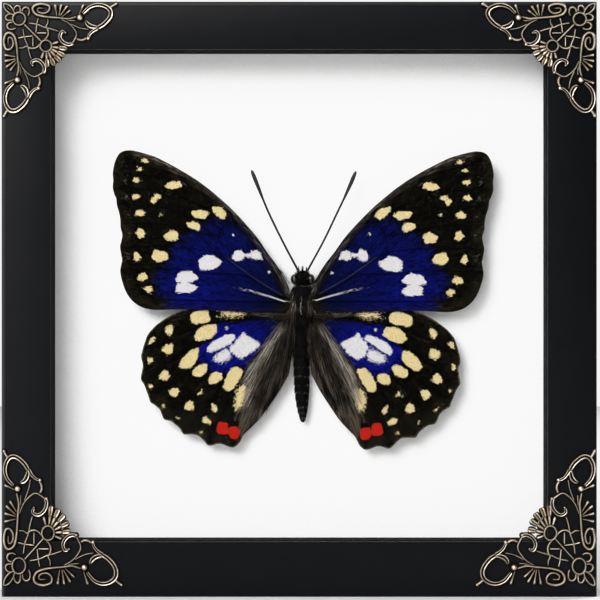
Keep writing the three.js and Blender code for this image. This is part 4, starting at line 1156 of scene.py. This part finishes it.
fold_cover = (wing_mark["fold"] + (wing_streaks - 0.5) * 2.0 + 0.5).held()
fold_rows = along_scales(85.0, 0.16, 3.4)
fold_row = (fold_rows * 0.65 + wing_pleats * 0.45 - 0.27).held()
fold_hair = wing_finish.mix(fold_row, scale_tone(9, 8, 7), scale_tone(122, 110, 95))
scales = wing_finish.mix(fold_cover, scales, fold_hair)
pale_cover = near_line("pale", 1.5) * (fold_rows * 2.6 - 1.0).held()
scales = wing_finish.mix(pale_cover, scales, scale_tone(176, 170, 163))

cream = wing_finish.mix(wing_dust, scale_tone(200, 174, 110), scale_tone(242, 228, 178))
scales = wing_finish.mix(marked("cream"), scales, cream)
white = wing_finish.mix(wing_dust, scale_tone(200, 198, 200), scale_tone(236, 234, 233))
scales = wing_finish.mix(marked("white", 0.2, 1.2, 1.8, 4.4), scales, white)
red = wing_finish.mix(wing_dust, scale_tone(142, 10, 6), scale_tone(214, 46, 34))
scales = wing_finish.mix(marked("red", 0.3), scales, red)
wing_finish.paint("Base Color", scales)
wing_finish.relief(wing_streaks * 0.03 + wing_dust * 0.02)

WING_SET = [
    # name, side, wing, level, shift, turn in degrees, size
    ("forewing_right", 1, "fore", 1.95, (0, 0), 0, 1),
    ("hindwing_right", 1, "hind", 1.2, (0, 0), 0, 1),
    ("forewing_left", -1, "fore", 1.95, (-0.6, -0.4), -1.5, 0.988),
    ("hindwing_left", -1, "hind", 1.2, (-0.15, -0.2), -1.8, 0.994),
]
WING_DRAWINGS = {"fore": FOREWING, "hind": HINDWING}
lattices = {kind: wing_lattice(drawing["outline"]) for kind, drawing in WING_DRAWINGS.items()}


def wing_marks(name, flat):
    """The cream, white and red marks of one wing."""
    none = np.full(len(flat), -STRONGEST)
    right = name.endswith("right")
    if name.startswith("forewing"):
        cream_marks = oval_cover(flat, FOREWING_RIGHT_CREAM if right else FOREWING_LEFT_CREAM)
        white_marks = oval_cover(flat, FOREWING_RIGHT_WHITE if right else FOREWING_LEFT_WHITE)
        return cream_marks, white_marks, none
    cream_marks = oval_cover(flat, HINDWING_RIGHT_CREAM if right else HINDWING_LEFT_CREAM)
    blocks = patch_cover(flat, HINDWING_RIGHT_BLOCKS if right else HINDWING_LEFT_BLOCKS, 0.16)
    veiled = patch_cover(flat, HINDWING_RIGHT_VEILED if right else HINDWING_LEFT_VEILED, 0.4)
    cream_marks = np.maximum(cream_marks, np.maximum(blocks, veiled))
    patches = HINDWING_RIGHT_WHITE if right else HINDWING_LEFT_WHITE
    white_marks = np.maximum(patch_cover(flat, patches[:1], 0.2), patch_cover(flat, patches[1:2], 0.15))
    white_marks = np.maximum(white_marks, patch_cover(flat, patches[2:], 0.35))
    white_marks = np.maximum(white_marks, oval_cover(flat, [HINDWING_WHITE_DOT]))
    red_marks = patch_cover(flat, HINDWING_RIGHT_RED if right else HINDWING_LEFT_RED, 0.12)
    return cream_marks, white_marks, red_marks


def wing_place(flat, height, side, level, shift, turn, size):
    """Takes points drawn outwards and up from the thorax to their place in the frame."""
    out = level + height + WING_TILT * flat[:, 0]
    drawn = np.column_stack([side * flat[:, 0] * size, flat[:, 1] * size, out])
    return turned(drawn, turn, (shift[0] + BUTTERFLY[0], shift[1] + BUTTERFLY[1]))


for name, side, kind, level, shift, turn, size in WING_SET:
    flat, faces = lattices[kind]
    values = wing_values(flat, WING_DRAWINGS[kind], *wing_marks(name, flat))
    plate, skin = wing_plate(flat, faces, wing_height(values))
    placed = wing_place(plate[:, :2], plate[:, 2], side, level, shift, turn, size)
    if side > 0:
        skin = [tuple(reversed(face)) for face in skin]
    both = {value_name: np.tile(column, 2) for value_name, column in values.items()}
    wing = add_mesh("scaled_" + name, placed, skin, wing_finish, both, crease=60)
    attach(wing, "root")
    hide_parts(name)

# ---- Body --------------------------------------------------------------------------------------
# A dried body in dull black: head, thorax thick with hair, and an abdomen of lapping rings. The
# hairs are part of it, and run down over the folded inner edges of the hindwings.
HEAD_AND_THORAX = [
    # height, middle, half width, front and back of the section
    (7.5, 0.3, 0.5, 0.8, -0.2), (7.1, 0.3, 1.3, 1.3, -0.8), (6.4, 0.3, 1.75, 1.7, -1.3),
    (5.4, 0.3, 1.95, 2.0, -1.6), (4.4, 0.3, 1.9, 2.0, -1.5), (3.9, 0.25, 1.9, 1.7, -1.2),
    (3.5, 0.2, 2.3, 1.9, -1.3), (2.6, 0.15, 2.7, 2.5, -1.8), (1.0, 0.1, 3.0, 3.0, -2.5),
    (-1.2, 0.05, 3.15, 3.3, -2.7), (-3.4, 0.0, 2.95, 3.0, -2.6), (-5.0, 0.0, 2.55, 2.5, -2.1),
    (-6.0, 0.0, 2.1, 1.9, -1.8),
]
ABDOMEN_RINGS = [
    # lower end, middle, half width
    (-8.8, 0.0, 2.05), (-11.8, 0.0, 2.1), (-14.6, 0.0, 2.14), (-17.2, 0.0, 2.14), (-19.6, 0.02, 2.1),
    (-21.8, 0.06, 2.02), (-23.8, 0.1, 1.9), (-25.7, 0.14, 1.72), (-27.5, 0.18, 1.46), (-29.1, 0.24, 1.12),
    (-30.4, 0.28, 0.75),
]
ABDOMEN_TIP = (-31.3, 0.3, 0.25)
ABDOMEN_SINK = 0.5
# How full a ring of the abdomen is along its length: it swells, then tucks under at its end.
RING_SWELL = [(0.03, 0.9), (0.12, 0.93), (0.45, 0.985), (0.75, 1.0), (0.93, 1.0), (0.99, 0.95)]
BODY_SIDES = 40
SKIN_TONE = 0.03
BODY_STEP = 0.25
HAIR_SEED = 11
HAIR_SCATTER = 0.13
HAIR_ROOTED = 0.05
HAIR_COMBED_FROM = (0.8, 1.0)
HAIR_SIDES = 3
# Share of a hair's length, and its thickness there.
HAIR_TAPER = [(0.0, 0.8), (0.35, 1.0), (0.7, 0.65), (1.0, 0.08)]


def body_stations():
    """Smooth sections down the head and thorax, then stepped ones down the abdomen."""
    upper = smooth_path(HEAD_AND_THORAX, BODY_STEP)
    stations = [tuple(row) for row in upper]
    top, _, narrow, _, _ = HEAD_AND_THORAX[-1]
    for bottom, middle, half in ABDOMEN_RINGS:
        for share, fullness in RING_SWELL:
            height = top + (bottom - top) * share
            wide = (narrow + (half - narrow) * share) * fullness
            stations.append((height, middle, wide, wide - ABDOMEN_SINK, -wide - ABDOMEN_SINK))
        top = bottom
        narrow = half
    height, middle, half = ABDOMEN_TIP
    for share in (0.25, 0.5, 0.75, 0.92, 1.0):
        wide = narrow + (half - narrow) * share ** 1.6
        down = top + (height - top) * share
        stations.append((down, middle, wide, wide - ABDOMEN_SINK, -wide - ABDOMEN_SINK))
    return np.array(stations)


def body_point(section, angle):
    """A point on the body's skin at a section, with the angle in degrees from the right."""
    height, middle, half, front, back = section
    turn = math.radians(angle)
    depth = (front + back) / 2 + (front - back) / 2 * math.sin(turn)
    return np.array([middle + half * math.cos(turn), height, depth])


def tube(rings):
    """A closed skin over rings of points."""
    sides = len(rings[0])
    points = np.vstack(rings)
    faces = []
    for row in range(len(rings) - 1):
        for side in range(sides):
            other = (side + 1) % sides
            low = row * sides
            faces.append((low + side, low + other, low + sides + other, low + sides + side))
    faces.append(tuple(reversed(range(sides))))
    faces.append(tuple(range((len(rings) - 1) * sides, len(rings) * sides)))
    return points, faces


def hair_tufts(roots, ahead, lengths, radius, tones, droop=(0, 0, 0)):
    """Tapering three-sided hairs, bent a little on the way: points, faces and tones."""
    roots = np.asarray(roots, float)
    ahead = np.asarray(ahead, float)
    ahead = ahead / np.linalg.norm(ahead, axis=1)[:, None]
    count = len(roots)
    lengths = np.asarray(lengths, float)[:, None]
    aside = np.cross(ahead, np.array([0.0, 0.0, 1.0]) + 1e-3)
    aside /= np.linalg.norm(aside, axis=1)[:, None]
    above = np.cross(aside, ahead)
    rings = []
    for share, thick in HAIR_TAPER:
        centre = roots + ahead * lengths * share + np.asarray(droop, float) * lengths * share ** 2
        for corner in range(HAIR_SIDES):
            turn = 2 * math.pi * corner / HAIR_SIDES
            rings.append(centre + radius * thick * (aside * math.cos(turn) + above * math.sin(turn)))
    points = np.stack(rings, axis=1).reshape(-1, 3)
    size = len(rings)
    pattern = []
    for low in range(0, size - HAIR_SIDES, HAIR_SIDES):
        high = low + HAIR_SIDES
        for corner in range(HAIR_SIDES):
            other = (corner + 1) % HAIR_SIDES
            pattern.append((low + corner, low + other, high + other, high + corner))
    root_end = tuple(reversed(range(HAIR_SIDES)))
    tip_end = tuple(range(size - HAIR_SIDES, size))
    faces = [tuple(size * hair + corner for corner in face) for hair in range(count) for face in pattern]
    for end in (root_end, tip_end):
        faces += [tuple(size * hair + corner for corner in end) for hair in range(count)]
    return points, faces, np.repeat(tones, size)


chance = np.random.default_rng(HAIR_SEED)
sections = body_stations()
skin_rings = []
for section in sections:
    skin_rings.append([body_point(section, 360 * (side + 0.5) / BODY_SIDES) for side in range(BODY_SIDES)])
skin_points, skin_faces = tube(skin_rings)
body_parts = [(skin_points, skin_faces, np.full(len(skin_points), SKIN_TONE))]


def on_body(heights, angles, lift=0.0):
    """Points on the skin, and the way out from it."""
    roots = []
    ways = []
    for height, angle in zip(heights, angles):
        section = [np.interp(-height, -sections[:, 0], sections[:, column]) for column in range(5)]
        section[0] = height
        point = body_point(section, angle)
        turn = math.radians(angle)
        out = np.array([math.cos(turn), 0.0, math.sin(turn)])
        roots.append(point + out * lift)
        ways.append(out)
    return np.array(roots), np.array(ways)


def tuft(count, heights, angles, lengths, radius, tones, down, out, droop=(0, 0, 0)):
    """A patch of hair on the body, with its ranges given as pairs."""
    places = chance.uniform(*sorted(heights), count)
    roots, ways = on_body(places, chance.uniform(*angles, count), -HAIR_ROOTED)
    ahead = ways * out + np.array([0.0, -down, 0.0]) + chance.normal(0, HAIR_SCATTER, (count, 3))
    shades = chance.uniform(*tones, count)
    body_parts.append(hair_tufts(roots, ahead, chance.uniform(*lengths, count), radius, shades, droop))


# Dark pile on the thorax, with paler hair over it, then the head, the sides and the abdomen.
tuft(2800, (3.6, -6.2), (-20, 200), (0.9, 2.4), 0.035, (0.0, 0.3), 1.0, 0.28, (0, 0, -0.1))
tuft(260, (2.8, -5.5), (20, 160), (1.0, 2.4), 0.04, (0.35, 0.7), 1.0, 0.2, (0, 0, -0.1))
tuft(190, (2.8, -2.5), (118, 165), (1.6, 3.4), 0.05, (0.45, 0.9), 1.0, 0.12)
tuft(160, (2.6, -2.0), (16, 60), (1.6, 3.2), 0.05, (0.42, 0.85), 1.0, 0.12)
tuft(46, (2.6, -2.4), (90, 97), (0.9, 2.0), 0.05, (0.85, 1.0), 1.0, 0.08)
tuft(900, (7.4, 3.8), (-10, 190), (0.3, 0.8), 0.035, (0.0, 0.3), -0.5, 0.8)
tuft(60, (7.0, 4.2), (30, 150), (0.3, 0.55), 0.045, (0.5, 0.85), 0.2, 0.8)
tuft(70, (3.75, 3.3), (15, 165), (0.25, 0.5), 0.05, (0.6, 0.95), -0.2, 0.9)
tuft(700, (-5.6, -14.5), (0, 180), (0.9, 2.0), 0.03, (0.0, 0.34), 1.0, 0.16, (0, 0, -0.1))
tuft(300, (-4.5, -12.0), (140, 185), (1.5, 3.6), 0.045, (0.15, 0.8), 1.0, 0.22)
tuft(300, (-4.5, -12.0), (-5, 40), (1.5, 3.6), 0.045, (0.15, 0.8), 1.0, 0.22)
tuft(900, (-13.0, -30.6), (0, 180), (0.4, 0.8), 0.022, (0.0, 0.22), 1.0, 0.14, (0, 0, -0.1))
for bottom, _, _ in ABDOMEN_RINGS[3:]:
    tuft(18, (bottom + 0.5, bottom + 0.05), (15, 168), (0.3, 0.9), 0.04, (0.42, 0.9), 1.0, 0.25)


def wing_hair(count, side, starts, spread, lengths, radius, tones, level, shift=(0, 0)):
    """Hair that lies on a hindwing, combed away from the thorax: starts and spread in mm."""
    place = chance.uniform(0, 1, count)
    starts = np.asarray(starts, float)
    along = np.interp(place, np.linspace(0, 1, len(starts)), starts[:, 0])
    up = np.interp(place, np.linspace(0, 1, len(starts)), starts[:, 1])
    roots = np.column_stack([along, up]) + chance.normal(0, spread, (count, 2))
    away = roots - np.array(HAIR_COMBED_FROM)
    away /= np.linalg.norm(away, axis=1)[:, None]
    depth = level + WING_TILT * roots[:, 0] + chance.uniform(0.0, 0.25, count)
    points = np.column_stack([side * roots[:, 0] + shift[0], roots[:, 1] + shift[1], depth])
    ahead = np.column_stack([side * away[:, 0], away[:, 1], chance.normal(0.01, 0.02, count)])
    ahead[:, :2] += chance.normal(0, 0.05, (count, 2))
    shades = chance.uniform(*tones, count)
    body_parts.append(hair_tufts(points, ahead, chance.uniform(*lengths, count), radius, shades))


FOLD_MIDDLE = [(2.6, -5.0), (4.0, -9.5), (6.0, -14.5), (8.5, -20.0), (10.8, -25.5)]
FOLD_OUTER = [(4.4, -6.6), (7.2, -10.4), (10.0, -14.6), (12.4, -19.6), (13.4, -24.5)]
FOLD_INNER = [(2.2, -8.0), (2.9, -13.0), (4.4, -18.0), (6.6, -22.6), (9.4, -27.4)]
for side in (1, -1):
    wing_hair(420, side, FOLD_MIDDLE, 0.9, (2.5, 6.0), 0.04, (0.0, 0.6), 1.3)
    wing_hair(170, side, FOLD_OUTER[1:], 0.45, (2.0, 5.0), 0.045, (0.6, 1.0), 1.3)
    wing_hair(260, side, FOLD_INNER, 0.35, (2.0, 4.0), 0.032, (0.0, 0.35), 1.3)
    wing_hair(120, side, [(3.2, -3.4), (7.0, -3.7)], 0.35, (1.2, 2.6), 0.032, (0.15, 0.6), 1.35)
    wing_hair(70, side, [(3.0, 4.0), (5.2, 7.2)], 0.22, (0.8, 1.6), 0.028, (0.1, 0.45), 2.1)

PALP_HAIRS = 70
PALPS = [
    # root and tip
    ((-0.75, 6.9, 0.9), (-0.7, 8.6, 1.2)), ((0.3, 7.0, 1.0), (0.3, 8.8, 1.3)),
    ((1.3, 6.9, 0.9), (1.25, 8.6, 1.2)),
]
for root, tip in PALPS:
    roots = np.array(root) + chance.normal(0, 0.14, (PALP_HAIRS, 3)) * (1, 0.6, 1)
    tips = np.array(tip) + chance.normal(0, 0.1, (PALP_HAIRS, 3))
    spans = np.linalg.norm(tips - roots, axis=1) * chance.uniform(0.6, 1.0, PALP_HAIRS)
    shades = chance.uniform(0.0, 0.2, PALP_HAIRS)
    body_parts.append(hair_tufts(roots, tips - roots, spans, 0.05, shades))

hair_finish = Finish("body_hair", {"Roughness": 0.7, "Specular IOR Level": 0.04})
hair_tone = hair_finish.painted("tone")
hair_stops = [
    (0.0, tone(4, 4, 4)), (0.3, tone(14, 13, 12)), (0.55, tone(42, 38, 33)), (0.8, tone(92, 85, 76)),
    (1.0, tone(190, 183, 173)),
]
hair_shade = hair_tone + (hair_finish.noise(1.2) - 0.5) * 0.12
hair_colour = hair_finish.add("ShaderNodeValToRGB", {"stops": hair_stops}, {0: hair_shade})
hair_finish.paint("Base Color", hair_colour)
hair_finish.relief(hair_finish.noise(1.0, 3.0, 0.6, hair_finish.stretched(6.0, 1.5, 6.0)) * 0.08)
body_points, body_faces, body_tones = joined(body_parts)
butterfly_place = np.array([BUTTERFLY[0], BUTTERFLY[1], 0.0])
body_points = body_points + butterfly_place
body = add_mesh("haired_body", body_points, body_faces, hair_finish, {"tone": body_tones}, crease=50)
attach(body, "root")
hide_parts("body")

# ---- Eyes --------------------------------------------------------------------------------------
# Two dried compound eyes, dark brown and glossy, faintly pebbled by their facets. They bulge
# from the sides of the head.
EYE_HALF = (1.05, 1.4, 1.3)
EYE_ROWS = 25
EYE_SIDES = 36
EYES = [("eye_left", (-1.75, 5.35, 0.55)), ("eye_right", (2.35, 5.35, 0.55))]
eye_finish = Finish("dark_eye", {"Roughness": 0.12, "Specular IOR Level": 0.6})
eye_facets = eye_finish.add("ShaderNodeTexVoronoi", None, {"Vector": eye_finish.place, "Scale": 6.0})
eye_finish.paint("Base Color", eye_finish.mix(eye_facets, tone(14, 11, 9), tone(4, 3, 3)))
eye_finish.paint("Roughness", eye_facets * 0.1 + 0.1)
eye_finish.relief(0.04 - eye_facets * 0.04)
for name, (x, y, z) in EYES:
    rings = []
    for row in np.linspace(-0.98, 0.98, EYE_ROWS):
        rings.append([
            (
                BUTTERFLY[0] + x + EYE_HALF[0] * math.sqrt(1 - row * row) * math.cos(turn),
                BUTTERFLY[1] + y + EYE_HALF[1] * row * (1 - 0.06 * row),
                z + EYE_HALF[2] * math.sqrt(1 - row * row) * math.sin(turn),
            )
            for turn in np.linspace(0, 2 * math.pi, EYE_SIDES, endpoint=False)
        ])
    points, faces = tube(rings)
    eye = add_mesh("faceted_" + name, points, faces, eye_finish, crease=60)
    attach(eye, "root")
    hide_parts(name)

# ---- Antennae ----------------------------------------------------------------------------------
# Two thin ringed shafts that swell into clubs with rusty tips. They grow from the top of the
# head and are spread in a V.
ANTENNAE = [
    ("antenna_left", [(-0.9, 7.0, 1.0), (-1.1, 7.9, 1.3), (-4.6, 14.5, 1.7), (-8.4, 22.3, 2.0),
                      (-10.7, 27.9, 2.2), (-12.8, 33.2, 2.3)]),
    ("antenna_right", [(1.5, 7.0, 1.0), (1.75, 7.9, 1.3), (5.7, 15.2, 1.7), (9.3, 22.7, 2.0),
                       (11.8, 28.0, 2.2), (13.9, 32.9, 2.3)]),
]
ANTENNA_RADII = ([0, 0.03, 0.72, 0.84, 0.93, 0.98, 1.0], [0.3, 0.27, 0.28, 0.45, 0.52, 0.42, 0.15])
antenna_finish = Finish("antenna_horn", {"Roughness": 0.5, "Specular IOR Level": 0.3})
antenna_tip = antenna_finish.painted("tip")
antenna_grain = antenna_finish.noise(4.0)
antenna_dark = antenna_finish.mix(antenna_grain, tone(10, 9, 9), tone(30, 25, 22))
antenna_rust = antenna_finish.mix(antenna_grain, tone(58, 36, 24), tone(104, 68, 44))
antenna_end = (antenna_tip * 16.0 - 15.2).held()
antenna_finish.paint("Base Color", antenna_finish.mix(antenna_end, antenna_dark, antenna_rust))
antenna_finish.relief(antenna_grain * 0.02)


def limb(route, shares, radii, spacing=0.12, sides=10, ringed=0.0):
    """A round limb along a route: points, faces and how far along each point is."""
    path = smooth_path(route, spacing)
    share = np.linspace(0, 1, len(path))
    thick = np.interp(share, shares, radii) * (1 + ringed * (np.arange(len(path)) % 3 == 0))
    ahead = np.gradient(path, axis=0)
    ahead /= np.linalg.norm(ahead, axis=1)[:, None]
    aside = np.cross(ahead, (0.0, 0.0, 1.0))
    aside /= np.linalg.norm(aside, axis=1)[:, None]
    above = np.cross(aside, ahead)
    turns = np.linspace(0, 2 * math.pi, sides, endpoint=False)
    rings = [
        [centre + r * (math.cos(turn) * a + math.sin(turn) * b) for turn in turns]
        for centre, r, a, b in zip(path, thick, aside, above)
    ]
    points, faces = tube(rings)
    return points, faces, np.repeat(share, sides)


for name, route in ANTENNAE:
    points, faces, share = limb(route, *ANTENNA_RADII, ringed=0.12)
    points = points + butterfly_place
    antenna = add_mesh("ringed_" + name, points, faces, antenna_finish, {"tip": share}, crease=60)
    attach(antenna, "root")
    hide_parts(name)

# ---- Legs --------------------------------------------------------------------------------------
# Two pairs of thin dry legs of horn, grown from the sides of the thorax. They lie folded between
# the wings and the card.
LEGS = {
    "mid": [(3.2, 0.8, -1.2), (7.2, 3.0, -1.5), (5.6, -2.6, -2.0), (4.7, -7.0, -2.3)],
    "hind": [(3.1, -2.0, -1.3), (8.8, -3.2, -1.6), (6.4, -8.6, -2.1), (5.0, -13.4, -2.3)],
}
LEG_RADII = ([0, 0.33, 0.66, 1.0], [0.34, 0.28, 0.2, 0.12])
leg_finish = Finish("leg_horn", {"Roughness": 0.6, "Specular IOR Level": 0.2})
leg_grain = leg_finish.noise(3.0, 3.0)
leg_finish.paint("Base Color", leg_finish.mix(leg_grain, tone(14, 12, 10), tone(40, 33, 26)))
leg_finish.relief(leg_grain * 0.03)
for side_name, side in (("left", -1), ("right", 1)):
    for pair, route in LEGS.items():
        placed = [(side * x + BUTTERFLY[0], y + BUTTERFLY[1], z) for x, y, z in route]
        points, faces, _ = limb(placed, *LEG_RADII, spacing=0.3, sides=8)
        leg = add_mesh(f"dry_leg_{pair}_{side_name}", points, faces, leg_finish)
        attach(leg, "root")
        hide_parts(f"leg_{pair}_{side_name}")
